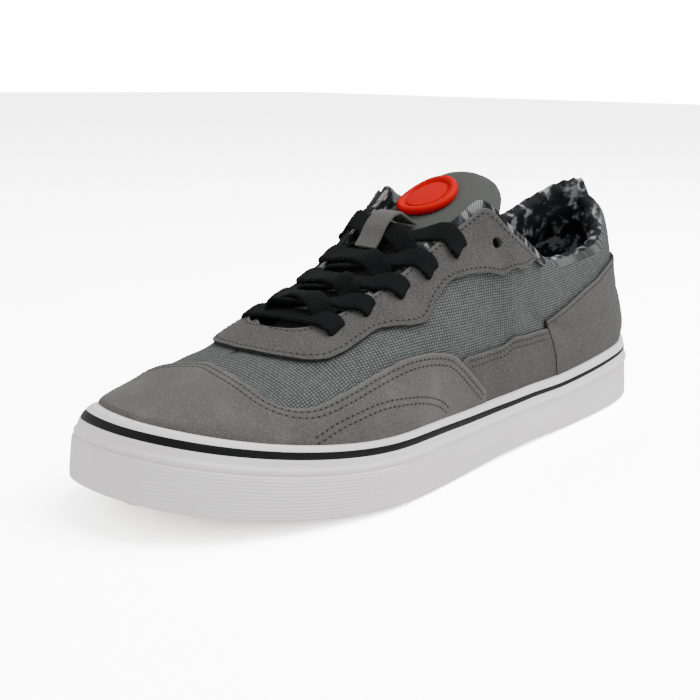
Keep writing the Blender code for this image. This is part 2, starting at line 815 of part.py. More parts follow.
def sewn_panel(name, spans, low, high, colour, sides=(False, True), columns=6):
    """Solid between two lifts of the form. spans are pairs of (along, up) points, one pair a row;
    where the two sides meet, on the ridge or at an end, they are joined."""
    found, order, faces = {}, [], set()

    def corner(way, up):
        key = tuple(np.round(form_base(way, up) * 2e4).astype(int))
        if key not in found:
            found[key] = len(order)
            order.append((way, up))
        return found[key]

    for medial in sides:
        rows = []
        for start, end in spans:
            row = []
            for k in range(columns + 1):
                share = k / columns
                way = way_of(start[0] + (end[0] - start[0]) * share, medial)
                up = between(way, start[1], end[1], share)
                row.append(corner(way, 1.0 if up > 0.9999 else up))
            rows.append(row)
        for first, second in zip(rows, rows[1:]):
            for k in range(columns):
                corners = (first[k], second[k], second[k + 1], first[k + 1])
                kept = [v for i, v in enumerate(corners) if v not in corners[:i]]
                if len(kept) > 2:
                    faces.add(tuple(kept if medial else kept[::-1]))
    bm = bmesh.new()
    top = [bm.verts.new(form(way, up, high)) for way, up in order]
    bottom = [bm.verts.new(form(way, up, low)) for way, up in order]
    uses = {}
    for face in faces:
        bm.faces.new([top[i] for i in face])
        bm.faces.new([bottom[i] for i in reversed(face)])
        for i in range(len(face)):
            a, b = face[i], face[(i + 1) % len(face)]
            uses.setdefault(frozenset((a, b)), []).append((a, b))
    for edges in uses.values():
        if len(edges) == 1:
            a, b = edges[0]
            bm.faces.new((top[b], top[a], bottom[a], bottom[b]))
    return finish(bm, name, colour, 0.85, smooth=35)


def row_alongs(rows):
    """The ends of a table and the stations between them."""
    first, last = rows[0][0], rows[-1][0]
    start, end, margin = way_of(first), way_of(last), 0.3 / STATIONS
    inside = [way for way in stations()[: STATIONS // 2 + 1] if start + margin < way < end - margin]
    return [first] + [OUTLINE.at(way)[0] for way in inside] + [last]


def table_spans(rows):
    """Spans of a panel from its table."""
    spans = []
    for at in row_alongs(rows):
        foot = max(table_value(rows, at, 1), foot_up(way_of(at)))
        spans.append(((at, foot), (table_value(rows, at, 2), table_value(rows, at, 3))))
    return spans


def eyestay_spans():
    """From the eyestay's outer edge to the edge of the opening, or to the ridge in front of it."""
    spans = []
    first, last = EYESTAY_ROWS[0][0], EYESTAY_ROWS[-1][0]
    count = 28
    for i in range(count + 1):
        at = first + (last - first) * i / count
        edge = edge_up(way_of(at))
        inner = edge if edge >= 1.0 else edge - 0.008
        outer = min(table_value(EYESTAY_ROWS, at, 1), inner - 0.015)
        spans.append(((at, outer), (at, inner)))
    return spans


def build_panels():
    suede, toe_suede = (0.145, 0.140, 0.135), (0.19, 0.185, 0.18)
    low, high = PANEL_GAP, PANEL_GAP + OVERLAY_THICKNESS
    sewn_panel("toe_cap", table_spans(TOE_CAP_ROWS), low, high, toe_suede, columns=6)
    sewn_panel("heel_counter", table_spans(COUNTER_ROWS), low, high, suede, columns=7)
    thin = PANEL_GAP + UNDERLAY_THICKNESS
    spans = table_spans(SIDE_PANEL_ROWS)
    sewn_panel("side_panel_lateral", spans, low, thin, suede, sides=(False,), columns=4)
    sewn_panel("side_panel_medial", spans, low, thin, suede, sides=(True,), columns=4)
    return sewn_panel("eyestay", eyestay_spans(), low, high, suede, columns=4)


# Tongue, badge, laces and loop


def form_height(along, x):
    """Height of the upper's form over a point inside the shoe."""
    centre = ridge(along)
    way = way_of(along, medial=x < centre)
    low, high = 0.05, 0.999
    for _ in range(20):
        middle = (low + high) / 2
        if abs(form_base(way, middle)[0] - centre) > abs(x - centre):
            low = middle
        else:
            high = middle
    return form_base(way, low)[2]


@lru_cache(maxsize=None)
def tongue_height(along, x):
    """Top of the tongue: its own arch, kept under the upper where the upper covers it."""
    across = (x - ridge(along)) / BALL_WIDTH
    half = table_value(TONGUE_ROWS, along, 2)
    sag = table_value(TONGUE_ROWS, along, 3)
    own = rim(along) + INSTEP_RISE * table_value(TONGUE_ROWS, along, 1)
    own -= sag * half * BALL_WIDTH * (across / half) ** 2
    under = form_height(along, x) - UPPER_WALL - TONGUE_CLEARANCE
    slope = (form_height(along, x + 1e-3) - form_height(along, x - 1e-3)) / 2e-3
    under -= (math.hypot(1, slope) - 1) * (UPPER_WALL + TONGUE_CLEARANCE)
    blend = 0.0006
    least = min(own, under)
    return least - blend * math.log(math.exp((least - own) / blend) + math.exp((least - under) / blend))


def tongue_point(x, y, lift):
    """A point over the tongue, lifted square to it."""
    step = 1e-3
    along, shift = along_of(y), step / SHOE_LENGTH
    slope_x = (tongue_height(along, x + step) - tongue_height(along, x - step)) / (2 * step)
    slope_y = (tongue_height(along - shift, x) - tongue_height(along + shift, x)) / (2 * step)
    normal = np.array([-slope_x, -slope_y, 1.0])
    return np.array([x, y, tongue_height(along, x)]) + normal / np.linalg.norm(normal) * lift


def build_tongue():
    top, bottom = [], []
    first, last = TONGUE_ROWS[0][0], TONGUE_ROWS[-1][0]
    rows, columns = 15, 8
    for i in range(rows + 1):
        share = (i / rows) ** 1.35
        along = first + (last - first) * share
        half = table_value(TONGUE_ROWS, along, 2) * BALL_WIDTH
        thick = table_value(TONGUE_ROWS, along, 4) * TONGUE_THICKNESS
        upper_row, lower_row = [], []
        for k in range(columns + 1):
            v = math.sin((2 * k / columns - 1) * math.pi / 2)
            x = ridge(along) + half * v
            round_off = math.sqrt(max(1 - abs(v) ** 3, 0.0))
            if i == 0:
                round_off *= 0.4
            depth = TONGUE_EDGE + (thick - TONGUE_EDGE) * round_off
            drop = (thick - depth) * 0.3
            upper_row.append(tongue_point(x, place(along), -drop))
            lower_row.append(tongue_point(x, place(along), -drop - depth))
        top.append(upper_row)
        bottom.append(lower_row)
    bm = bmesh.new()
    add_slab(bm, top, bottom)
    return finish(bm, "tongue", (0.17, 0.175, 0.17), 0.9, smooth=60)


def build_badge():
    """Plain disc with a raised rim, shaped to the tongue."""
    centre_x, centre_y = 0.0, place(BADGE_ALONG)
    radius, segments = BADGE_DIAMETER / 2, 20
    rim_inner = radius - BADGE_RIM_WIDTH
    base, face = 2 * GAP, 2 * GAP + BADGE_THICKNESS
    crest = face + BADGE_RIM_HEIGHT
    profile = [
        (radius, base), (radius, crest - 0.3 * BADGE_RIM_HEIGHT), (radius - 0.2 * BADGE_RIM_WIDTH, crest),
        (rim_inner + 0.2 * BADGE_RIM_WIDTH, crest), (rim_inner, face), (0.5 * rim_inner, face),
    ]
    bm = bmesh.new()

    def on_tongue(r, angle, lift):
        x, y = centre_x + r * math.cos(angle), centre_y + r * 0.9 * math.sin(angle)
        return tongue_point(x, y, lift)

    angles = [2 * math.pi * i / segments for i in range(segments)]
    rows = [[on_tongue(r, a, lift) for a in angles] for r, lift in profile]
    rings = add_grid(bm, rows, close_columns=True)
    under = add_grid(bm, [[on_tongue(r, a, base) for a in angles] for r in (0.5 * rim_inner,)])[0]
    top_centre = bm.verts.new(on_tongue(0.0, 0.0, face))
    low_centre = bm.verts.new(on_tongue(0.0, 0.0, base))
    for i in range(segments):
        j = (i + 1) % segments
        bm.faces.new((rings[-1][i], rings[-1][j], top_centre))
        bm.faces.new((under[j], under[i], low_centre))
        bm.faces.new((rings[0][j], rings[0][i], under[i], under[j]))
    return finish(bm, "tongue_badge", (0.85, 0.035, 0.03), 0.45, smooth=35)


def surface_trees(pieces):
    graph = bpy.context.evaluated_depsgraph_get()
    trees = []
    for piece in pieces:
        bm = bmesh.new()
        bm.from_object(piece, graph)
        trees.append(BVHTree.FromBMesh(bm))
        bm.free()
    return trees


def top_height(trees, x, y):
    """Height of the highest surface over a point of the floor."""
    heights = []
    for tree in trees:
        hit = tree.ray_cast(Vector((x, y, 1.0)), Vector((0, 0, -1)))
        if hit[0]:
            heights.append(hit[0].z)
    return max(heights, default=0.0)


def taut(points):
    """The upper hull of (share, height) points, read back at every share: a cord pulled tight."""
    hull = []
    for point in points:
        while len(hull) > 1:
            (x0, z0), (x1, z1) = hull[-2:]
            if (z1 - z0) * (point[0] - x0) <= (point[1] - z0) * (x1 - x0):
                hull.pop()
            else:
                break
        hull.append(point)
    shares, heights = zip(*hull)
    return [float(np.interp(share, shares, heights)) for share, _ in points]


def lace_edges(trees, start, end, width, clearance, extra=0.0, count=10):
    """Both edges of a strap pulled tight from one place to another over what lies beneath."""
    start, end = np.array(start[:2]), np.array(end[:2])
    side = np.array([start[1] - end[1], end[0] - start[0]])
    side = side / np.linalg.norm(side) * width / 2
    shares = [i / count for i in range(count + 1)]

    def line(offset):
        flats = [start + (end - start) * share + side * offset for share in shares]
        return flats, taut([(share, top_height(trees, *flat)) for share, flat in zip(shares, flats)])

    left, right = line(-1.0), line(1.0)
    middles = [line(offset)[1] for offset in (-0.5, 0.0, 0.5)]
    edges = ([], [])
    for i, share in enumerate(shares):
        low, high = left[1][i], right[1][i]
        bulge = max(
            max(heights[i] - (low + (high - low) * (offset + 1) / 2), 0.0)
            for offset, heights in zip((-0.5, 0.0, 0.5), middles)
        )
        lift = clearance + bulge + extra * math.sin(math.pi * share)
        edges[0].append(np.array([*left[0][i], low + lift]))
        edges[1].append(np.array([*right[0][i], high + lift]))
    return edges


def strap(name, edges, thickness, colour):
    """Flat woven strap with rounded edges between two edge lines."""
    bm = bmesh.new()
    rows = []
    last = len(edges[0]) - 1
    for i in range(last + 1):
        left, right = edges[0][i], edges[1][i]
        middle = (left + right) / 2
        after, before = min(i + 1, last), max(i - 1, 0)
        ahead = (edges[0][after] + edges[1][after]) - (edges[0][before] + edges[1][before])
        half = np.linalg.norm(right - left) / 2
        across = (right - left) / (2 * half)
        normal = np.cross(ahead, across)
        normal = normal / np.linalg.norm(normal)
        if normal[2] < 0:
            normal = -normal
        middle = middle + normal * thickness / 2
        up, edge = thickness / 2, half - thickness * 0.6
        rows.append([
            middle + across * a + normal * b
            for a, b in ((-half, 0), (-edge, up), (edge, up), (half, 0), (edge, -up), (-edge, -up))
        ])
    verts = add_grid(bm, rows, close_columns=True)
    bm.faces.new(verts[0][::-1])
    bm.faces.new(verts[-1])
    return finish(bm, name, colour, 0.95, smooth=50)


def joined(first, second):
    """One solid out of two."""
    modifier = first.modifiers.new("join", "BOOLEAN")
    modifier.operation = "UNION"
    modifier.solver = "EXACT"
    modifier.object = second
    graph = bpy.context.evaluated_depsgraph_get()
    mesh = bpy.data.meshes.new_from_object(first.evaluated_get(graph))
    first.modifiers.clear()
    first.data = mesh
    bpy.data.objects.remove(second)
    return first


def eyelet_stop(frames, index, towards):
    """Where a strap ends: beside its eyelet hole, on the side of the throat."""
    point, goal = np.array(frames[index][0]), np.array(frames[towards][0])
    step = goal - point
    return point + step / np.linalg.norm(step) * (EYELET_DIAMETER / 2 + 2 * GAP)


def build_laces(pieces):
    """The straight bar at the toe end, then four crossings, each one joined solid."""
    black = (0.012, 0.012, 0.013)
    frames = eyelet_frames()
    straps = []
    trees = surface_trees(pieces)
    stops = eyelet_stop(frames, 0, 1), eyelet_stop(frames, 1, 0)
    edges = lace_edges(trees, *stops, LACE_WIDTH, LACE_CLEARANCE)
    straps.append(strap("lace_bar", edges, LACE_THICKNESS, black))
    for pair in range(4):
        lateral, medial = 2 * pair, 2 * pair + 1
        under = trees + surface_trees(straps[-1:])
        halves = []
        for low, high, extra in ((medial, lateral + 2, 0.0), (lateral, medial + 2, LACE_CROSSING)):
            start, end = throat_edge_point(low, high, frames), eyelet_stop(frames, high, low)
            edges = lace_edges(under, start, end, LACE_WIDTH, LACE_CLEARANCE, extra)
            halves.append(strap(f"lace_cross_{pair + 1}", edges, LACE_THICKNESS, black))
        straps.append(joined(*halves))
    return straps


def throat_edge_point(low, high, frames):
    """Where a strap comes out from under the eyestay, on the way from one eyelet to another."""
    point, goal = np.array(frames[low][0]), np.array(frames[high][0])
    return point + (goal - point) * 0.28


def build_loop(tongue, straps):
    """Suede keeper on the tongue that the last crossing passes through."""
    trees = surface_trees([tongue] + straps)
    centre_x, centre_y = ridge(LOOP_ALONG), place(LOOP_ALONG)
    start = (centre_x, centre_y - LOOP_LENGTH / 2)
    end = (centre_x, centre_y + LOOP_LENGTH / 2)
    edges = lace_edges(trees, start, end, LOOP_WIDTH, 3 * GAP)
    return strap("tongue_loop", edges, LOOP_THICKNESS, (0.15, 0.145, 0.14))


def main():
    for old in list(bpy.data.objects):
        bpy.data.objects.remove(old)
    build_sole()
    upper = build_upper()
    eyestay = build_panels()
    tongue = build_tongue()
    build_badge()
    straps = build_laces([upper, eyestay, tongue])
    build_loop(tongue, straps)
    cutter = build_eyelet_cutter()
    cut(upper, cutter)
    cut(eyestay, cutter)


main()
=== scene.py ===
import math

import bmesh
import bpy
import numpy as np
from mathutils import Matrix, Vector
from mathutils.bvhtree import BVHTree


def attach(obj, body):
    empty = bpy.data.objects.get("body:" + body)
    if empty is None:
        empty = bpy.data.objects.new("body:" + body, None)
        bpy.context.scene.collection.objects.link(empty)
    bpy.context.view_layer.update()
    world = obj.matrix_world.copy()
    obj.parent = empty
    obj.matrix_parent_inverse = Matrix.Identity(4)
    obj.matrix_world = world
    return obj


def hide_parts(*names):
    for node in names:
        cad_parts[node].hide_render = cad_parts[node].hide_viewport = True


# Low-top skate shoe, left foot, dressed over its plain solids.
# Metres. Toe along -Y, outer side +X, sole on Z = 0.
# "along" is a share of the length from the heel (0) to the toe (1).
# "way" runs round the outline: 0 heel, 0.5 toe up the outer side, 1 back down the inner side.
# "up" runs from the rubber rim (0) to the ridge over the instep (1).

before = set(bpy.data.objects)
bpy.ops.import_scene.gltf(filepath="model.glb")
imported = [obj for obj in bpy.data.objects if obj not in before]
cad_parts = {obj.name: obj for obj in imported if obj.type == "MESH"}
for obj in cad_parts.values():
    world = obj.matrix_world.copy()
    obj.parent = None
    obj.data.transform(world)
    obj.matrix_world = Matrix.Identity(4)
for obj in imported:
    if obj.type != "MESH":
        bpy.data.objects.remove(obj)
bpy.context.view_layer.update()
print("frame loaded")

# The last, in the shoe's own sizes

last = dict(
    length=0.300, ballWidth=0.105, instepRise=0.070, heelHeight=0.090, toeSpring=0.013,
    heelSpring=0.0018, archRise=0.0008, rimHeight=0.0245, heelRimRise=0.0022, toeRimRise=0.0015,
    waistDip=0.0020, toeTuck=0.0052, footDrop=0.0053, heelLean=0.0065, backShift=0.00075,
    wall=0.0020, collarPad=0.0060, collarDepth=0.030,
)
inset = dict(wall=0.0015, flare=0.0026, upper=0.0074)

outlineRows = [  # along, axis and half width as shares of the ball width
    (0.00, 0.000, 0.000), (0.03, 0.000, 0.206), (0.08, 0.002, 0.306), (0.15, 0.006, 0.357),
    (0.25, 0.021, 0.373), (0.35, 0.038, 0.374), (0.45, 0.050, 0.383), (0.55, 0.049, 0.409),
    (0.65, 0.034, 0.457), (0.72, 0.012, 0.485), (0.80, -0.016, 0.480), (0.88, -0.027, 0.417),
    (0.94, -0.034, 0.330), (0.98, -0.040, 0.215), (1.00, -0.042, 0.000),
]
formRows = [  # along, ridge, crown over the rim, squareness, outward lean outside and inside
    (0.000, 0.000, 1.95, 3.20, 0.000, 0.000), (0.100, 0.004, 1.90, 3.20, 0.000, 0.000),
    (0.200, 0.012, 1.80, 3.20, 0.000, 0.010), (0.300, 0.024, 1.72, 3.10, 0.005, 0.030),
    (0.390, 0.034, 1.62, 3.10, 0.020, 0.050), (0.433, 0.036, 1.50, 3.10, 0.022, 0.055),
    (0.467, 0.030, 1.24, 2.90, 0.010, 0.050), (0.500, 0.020, 1.09, 2.80, 0.000, 0.040),
    (0.530, 0.010, 0.99, 2.70, 0.000, 0.030), (0.570, 0.000, 0.855, 2.55, 0.000, 0.020),
    (0.610, -0.010, 0.730, 2.40, 0.000, 0.010), (0.660, -0.024, 0.610, 2.30, 0.000, 0.005),
    (0.710, -0.038, 0.505, 2.20, 0.000, 0.000), (0.760, -0.044, 0.395, 2.05, 0.000, 0.000),
    (0.800, -0.048, 0.310, 1.98, 0.000, 0.000), (0.840, -0.050, 0.240, 1.95, 0.000, 0.000),
    (0.900, -0.048, 0.145, 2.00, 0.000, 0.000), (0.950, -0.044, 0.070, 2.05, 0.000, 0.000),
    (1.000, -0.042, 0.010, 2.10, 0.000, 0.000),
]
heelRows = [  # height as a share of the heel height, inward lean
    (0.28, 0.00), (0.36, -0.16), (0.46, 0.05), (0.56, 0.40), (0.66, 0.80), (0.76, 0.98),
    (0.86, 1.08), (0.96, 1.22), (1.10, 1.50),
]
openingRows = [  # along, half gap over the ridge, edge height outside and inside
    (0.000, 0.000, 1.130, 1.130), (0.030, 0.000, 1.105, 1.135), (0.060, 0.000, 1.010, 1.115),
    (0.090, 0.000, 0.900, 1.080), (0.120, 0.000, 0.835, 1.035), (0.160, 0.000, 0.805, 0.975),
    (0.200, 0.000, 0.795, 0.930), (0.277, 0.000, 0.790, 0.890), (0.332, 0.000, 0.835, 0.920),
    (0.363, 0.000, 0.885, 0.970), (0.397, 0.000, 0.930, 1.030), (0.425, 0.000, 0.965, 1.085),
    (0.440, 0.245, 0.985, 1.103), (0.455, 0.240, 1.000, 1.112), (0.470, 0.232, 1.400, 1.112),
    (0.530, 0.210, 1.400, 1.400), (0.570, 0.195, 1.400, 1.400), (0.610, 0.185, 1.400, 1.400),
    (0.660, 0.170, 1.400, 1.400), (0.700, 0.148, 1.400, 1.400), (0.720, 0.120, 1.400, 1.400),
    (0.735, 0.070, 1.400, 1.400), (0.742, 0.000, 1.400, 1.400),
]
throatFront = openingRows[-1][0]
throatLook = dict(innerNarrowing=0.32, cornerRounding=16)


def smoothStep(value, low, high):
    s = np.clip((np.asarray(value, float) - low) / (high - low), 0.0, 1.0)
    return s * s * (3 - 2 * s)


def curveBetween(s, width, first, firstSlope, second, secondSlope):
    # a smooth curve from one knot to the next, with the slope given at both
    return (
        (1 + 2 * s) * (1 - s) ** 2 * first + s * (1 - s) ** 2 * width * firstSlope
        + s * s * (3 - 2 * s) * second + s * s * (s - 1) * width * secondSlope
    )


def readRows(rows, at, column):
    # a column of a table, read by a smooth curve that doesn't overshoot
    keys = np.array([row[0] for row in rows])
    values = np.array([row[column] for row in rows])
    width = np.diff(keys)
    chord = np.diff(values) / width
    slope = np.concatenate([chord[:1], np.zeros(len(chord) - 1), chord[-1:]])
    before, after = chord[:-1], chord[1:]
    same = before * after > 0
    slope[1:-1][same] = 2 * before[same] * after[same] / (before[same] + after[same])
    at = np.clip(np.asarray(at, float), keys[0], keys[-1])
    i = np.clip(np.searchsorted(keys, at, side="right") - 1, 0, len(width) - 1)
    return curveBetween((at - keys[i]) / width[i], width[i], values[i], slope[i], values[i + 1], slope[i + 1])


def closedCurve(rows, scale):
    # knots and slopes of a ring that is smooth all the way round
    points = np.array(rows + rows[:1], float)
    step = np.linalg.norm(np.diff(points * scale, axis=0), axis=1)
    knots = np.concatenate([[0.0], np.cumsum(step)]) / step.sum()
    count = len(rows)
    gap = np.diff(knots)
    chord = np.diff(points, axis=0) / gap[:, None]
    matrix, right = np.zeros((count, count)), np.zeros((count, points.shape[1]))
    for i in range(count):
        matrix[i, i - 1] = gap[i]
        matrix[i, i] = 2 * (gap[i - 1] + gap[i])
        matrix[i, (i + 1) % count] = gap[i - 1]
        right[i] = 3 * (gap[i] * chord[i - 1] + gap[i - 1] * chord[i])
    slopes = np.linalg.solve(matrix, right)
    return points, knots, np.vstack([slopes, slopes[:1]])


innerRows = [(along, axis, -half) for along, axis, half in outlineRows[-2:0:-1]]
outline = closedCurve(outlineRows + innerRows, np.array([last["length"], last["ballWidth"], last["ballWidth"]]))


def outlineAt(way):
    # along, axis and half width of the sole's outline
    points, knots, slopes = outline
    way = np.asarray(way, float) % 1.0
    i = np.clip(np.searchsorted(knots, way, side="right") - 1, 0, len(knots) - 2)
    width = (knots[i + 1] - knots[i])[..., None]
    s = (way - knots[i])[..., None] / width
    return curveBetween(s, width, points[i], slopes[i], points[i + 1], slopes[i + 1])


def placeY(along):
    return last["length"] * (0.5 - along) + last["backShift"]


def alongOf(y):
    return 0.5 - (y - last["backShift"]) / last["length"]


denseWays = np.linspace(0.0, 0.5, 20001)
denseAlongs = np.maximum.accumulate(outlineAt(denseWays)[:, 0])


def wayOf(along, inner=False):
    way = np.interp(along, denseAlongs, denseWays)
    return np.where(inner, 1 - way, way)


def outlinePoint(way):
    spot = outlineAt(way)
    return np.stack([(spot[..., 1] + spot[..., 2]) * last["ballWidth"], placeY(spot[..., 0])], -1)


def insetPoint(way, depth):
    way = np.asarray(way, float)
    direction = outlinePoint(way + 1e-4) - outlinePoint(way - 1e-4)
    direction /= np.linalg.norm(direction, axis=-1, keepdims=True)
    inward = np.stack([direction[..., 1], -direction[..., 0]], -1)
    return outlinePoint(way) + np.asarray(depth)[..., None] * inward


def ground(along):
    toe = np.maximum(0.0, (along - 0.66) / 0.34)
    heel = np.maximum(0.0, (0.10 - along) / 0.10)
    arch = smoothStep(along, 0.30, 0.40) * (1 - smoothStep(along, 0.46, 0.57))
    return last["toeSpring"] * toe ** 2 + last["heelSpring"] * heel ** 2 + last["archRise"] * arch


def datum(along):
    # the level that the instep and the tongue are measured from
    heel = last["heelRimRise"] * (1 - smoothStep(along, 0.0, 0.45))
    return ground(along) + last["rimHeight"] + heel + last["toeRimRise"] * smoothStep(along, 0.7, 1.0)


def rim(along):
    waist = smoothStep(along, 0.06, 0.34) * (1 - smoothStep(along, 0.44, 0.66))
    return datum(along) - last["waistDip"] * waist


def toeTuck(way):
    # how far the rubber's rim leans back round the toe, most on its inner corner
    side = 0.35 + 0.65 * smoothStep(way % 1.0, 0.475, 0.535)
    return last["toeTuck"] * side * smoothStep(outlineAt(way)[..., 0], 0.84, 0.985)


def squeezed(along):
    # where the rib from this share meets the ridge: ribs fan out at the toe and heel
    along = np.asarray(along, float)
    toe = np.maximum(along - 0.72, 0.0) ** 2 / 0.56
    heel = np.maximum(0.20 - along, 0.0) ** 2 / 0.40
    return along - toe + heel


def crown(along):
    return datum(along) + last["instepRise"] * readRows(formRows, along, 2)


def ridge(along):
    return readRows(formRows, along, 1) * last["ballWidth"]


def formBase(way, up):
    way, up = np.broadcast_arrays(np.asarray(way, float), np.asarray(up, float))
    along = outlineAt(way)[..., 0]
    foot = insetPoint(way, inset["upper"] + toeTuck(way))
    middle = squeezed(along)
    centre = np.stack([ridge(middle), placeY(middle)], -1)
    edge = rim(along)
    power = 2 / readRows(formRows, middle, 3)
    angle = np.clip(up, 0.0, 1.0) * math.pi / 2
    reach = np.maximum(np.cos(angle), 0.0) ** power
    rise = np.sin(angle) ** power
    flat = centre + (foot - centre) * reach[..., None]
    height = edge + (crown(alongOf(flat[..., 1])) - edge) * rise
    rear = 1 - smoothStep(along, 0.22, 0.50)
    lean = last["heelLean"] * rear * readRows(heelRows, height / last["heelHeight"], 1)
    splay = np.where(way % 1.0 < 0.5, readRows(formRows, middle, 4), readRows(formRows, middle, 5))
    tall = np.minimum((height - edge) / (last["heelHeight"] - last["rimHeight"]), 1.0)
    lean = lean - splay * last["ballWidth"] * tall * reach
    inward = centre - foot
    flat = flat + inward / np.linalg.norm(inward, axis=-1, keepdims=True) * lean[..., None]
    low = ground(along) + last["footDrop"]
    below = up <= 0
    x = np.where(below, foot[..., 0], flat[..., 0])
    y = np.where(below, foot[..., 1], flat[..., 1])
    z = np.where(below, edge + (edge - low) * up, height)
    return np.stack([x, y, z], -1)


def unit(vectors):
    return vectors / np.maximum(np.linalg.norm(vectors, axis=-1, keepdims=True), 1e-12)


def formNormal(way, up):
    way, up = np.broadcast_arrays(np.asarray(way, float), np.asarray(up, float))
    step = 2e-3
    held = np.minimum(up, 1 - 2 * step)
    across = formBase(way + step, held) - formBase(way - step, held)
    rising = formBase(way, held + step) - formBase(way, held - step)
    side = unit(np.cross(rising, across))
    along = squeezed(outlineAt(way)[..., 0])
    rise = crown(along - step) - crown(along + step)
    run = placeY(along - step) - placeY(along + step)
    top = unit(np.stack([np.zeros_like(rise), -rise, run], -1))
    return np.where((up >= 1.0)[..., None], top, side)


def between(way, start, end, share):
    # a share of the way up a rib, in steps of even height
    bend = readRows(formRows, squeezed(outlineAt(way)[..., 0]), 3) / 2
    start, end = np.maximum(start, 0.0) ** (1 / bend), np.maximum(end, 0.0) ** (1 / bend)
    return np.minimum((start + (end - start) * share) ** bend, 1.0)


def collarPad(along):
    return last["collarPad"] * (1 - smoothStep(along, 0.35, 0.43))


def findEdge(way):
    # how far up its rib the upper reaches
    way = np.asarray(way, float)
    low, high = np.full(way.shape, 0.05), np.ones(way.shape)
    outer = way % 1.0 < 0.5
    for _ in range(26):
        middle = (low + high) / 2
        point = formBase(way, middle)
        along = alongOf(point[..., 1])
        halfGap = readRows(openingRows, along, 1) * last["ballWidth"]
        narrower = smoothStep(along, 0.42, 0.44) * (1 - smoothStep(along, 0.50, 0.57))
        halfGap = halfGap * np.where(outer, 1.0, 1 - throatLook["innerNarrowing"] * narrower)
        limit = np.where(outer, readRows(openingRows, along, 2), readRows(openingRows, along, 3))
        limit = limit * last["heelHeight"] - (last["wall"] + collarPad(along)) / 2
        lower = point[..., 2] < limit
        inside = (np.abs(point[..., 0] - ridge(along)) > halfGap) & lower | (along < 0.3) & lower
        low, high = np.where(inside, middle, low), np.where(inside, high, middle)
    closed = squeezed(outlineAt(way)[..., 0]) >= throatFront
    return np.where(closed, 1.0, (low + high) / 2)


edgeWays = np.linspace(0.0, 1.0, 4001)


def roundedEdge(size):
    # the edge with its corners rounded, apart from the front of the throat
    ups = findEdge(edgeWays)
    reach = np.arange(-3 * size, 3 * size + 1)
    kernel = np.exp(-0.5 * (reach / size) ** 2)
    ring = np.concatenate([ups[-3 * size - 1:-1], ups, ups[1:3 * size + 1]])
    softened = np.convolve(ring, kernel / kernel.sum(), mode="valid")
    share = 1 - smoothStep(outlineAt(edgeWays)[:, 0], 0.53, 0.62)
    return ups + (softened - ups) * share


edgeUps = roundedEdge(throatLook["cornerRounding"])
edgeTops = formBase(edgeWays, edgeUps)


def edgeUp(way):
    return np.interp(np.asarray(way) % 1.0, edgeWays, edgeUps)


def edgeReach(way, points):
    # distance of points from the edge of the opening on their rib
    tops = np.stack([np.interp(np.asarray(way) % 1.0, edgeWays, edgeTops[:, k]) for k in range(3)], -1)
    return np.linalg.norm(points - tops, axis=-1)


# Soft troughs (+) and ridges (-) worked into the upper: two ends as along and up, inner
# side or not, depth and half width in metres
creases = [
    ((0.780, 0.62), (0.700, 0.36), False, 0.0006, 0.0050),
    ((0.790, 0.62), (0.715, 0.34), True, 0.0006, 0.0050),
    ((0.812, 0.90), (0.800, 0.46), False, -0.0004, 0.0060),
    ((0.812, 0.90), (0.800, 0.46), True, -0.0004, 0.0060),
    ((0.640, 0.40), (0.600, 0.26), False, 0.0005, 0.0045),
    ((0.575, 0.40), (0.560, 0.22), False, -0.0004, 0.0050),
    ((0.640, 0.42), (0.590, 0.24), True, 0.0006, 0.0045),
    ((0.505, 0.30), (0.470, 0.12), False, 0.0004, 0.0060),
    ((0.440, 0.17), (0.420, 0.08), False, -0.0004, 0.0070),
    ((0.520, 0.32), (0.470, 0.12), True, 0.0005, 0.0060),
    ((0.925, 0.75), (0.890, 0.30), False, 0.0003, 0.0080),
    ((0.930, 0.60), (0.900, 0.25), True, 0.0003, 0.0080),
]
drapeLook = dict(fade=(0.36, 0.44), padWidth=0.026, padRise=0.0011, trough=0.0005, troughAt=0.027, troughWidth=0.0028)
creaseLines = [
    (formBase(wayOf(a[0], inner), a[1]), formBase(wayOf(b[0], inner), b[1]), depth, width)
    for a, b, inner, depth, width in creases
]


def drape(way, points):
    # how far the cloth stands off the last
    x, y, z = points[..., 0], points[..., 1], points[..., 2]
    lift = 0.00010 * np.sin(x * 260 + 1.3) * np.sin(y * 190 + 0.4) + 0.00008 * np.sin(y * 330 + z * 250)
    for start, end, depth, width in creaseLines:
        line = end - start
        share = np.clip(((points - start) @ line) / (line @ line), 0, 1)
        off = np.linalg.norm(points - (start + share[..., None] * line), axis=-1)
        lift = lift - depth * np.exp(-(off / width) ** 2)
    along = alongOf(y)
    reach = edgeReach(way, points)
    look = drapeLook
    soft = 1 - smoothStep(along, *look["fade"])
    pad = np.sin(np.clip(reach / look["padWidth"], 0, 1) * math.pi) ** 0.8 * look["padRise"]
    trough = look["trough"] * np.exp(-((reach - look["troughAt"]) / look["troughWidth"]) ** 2)
    return lift * smoothStep(z, 0.020, 0.034) + soft * (pad - trough)


def onLast(way, up, lift=0.0):
    base = formBase(way, up)
    return base + formNormal(way, up) * (np.asarray(lift, float) + drape(way, base))[..., None]


# Node maths for the finishes

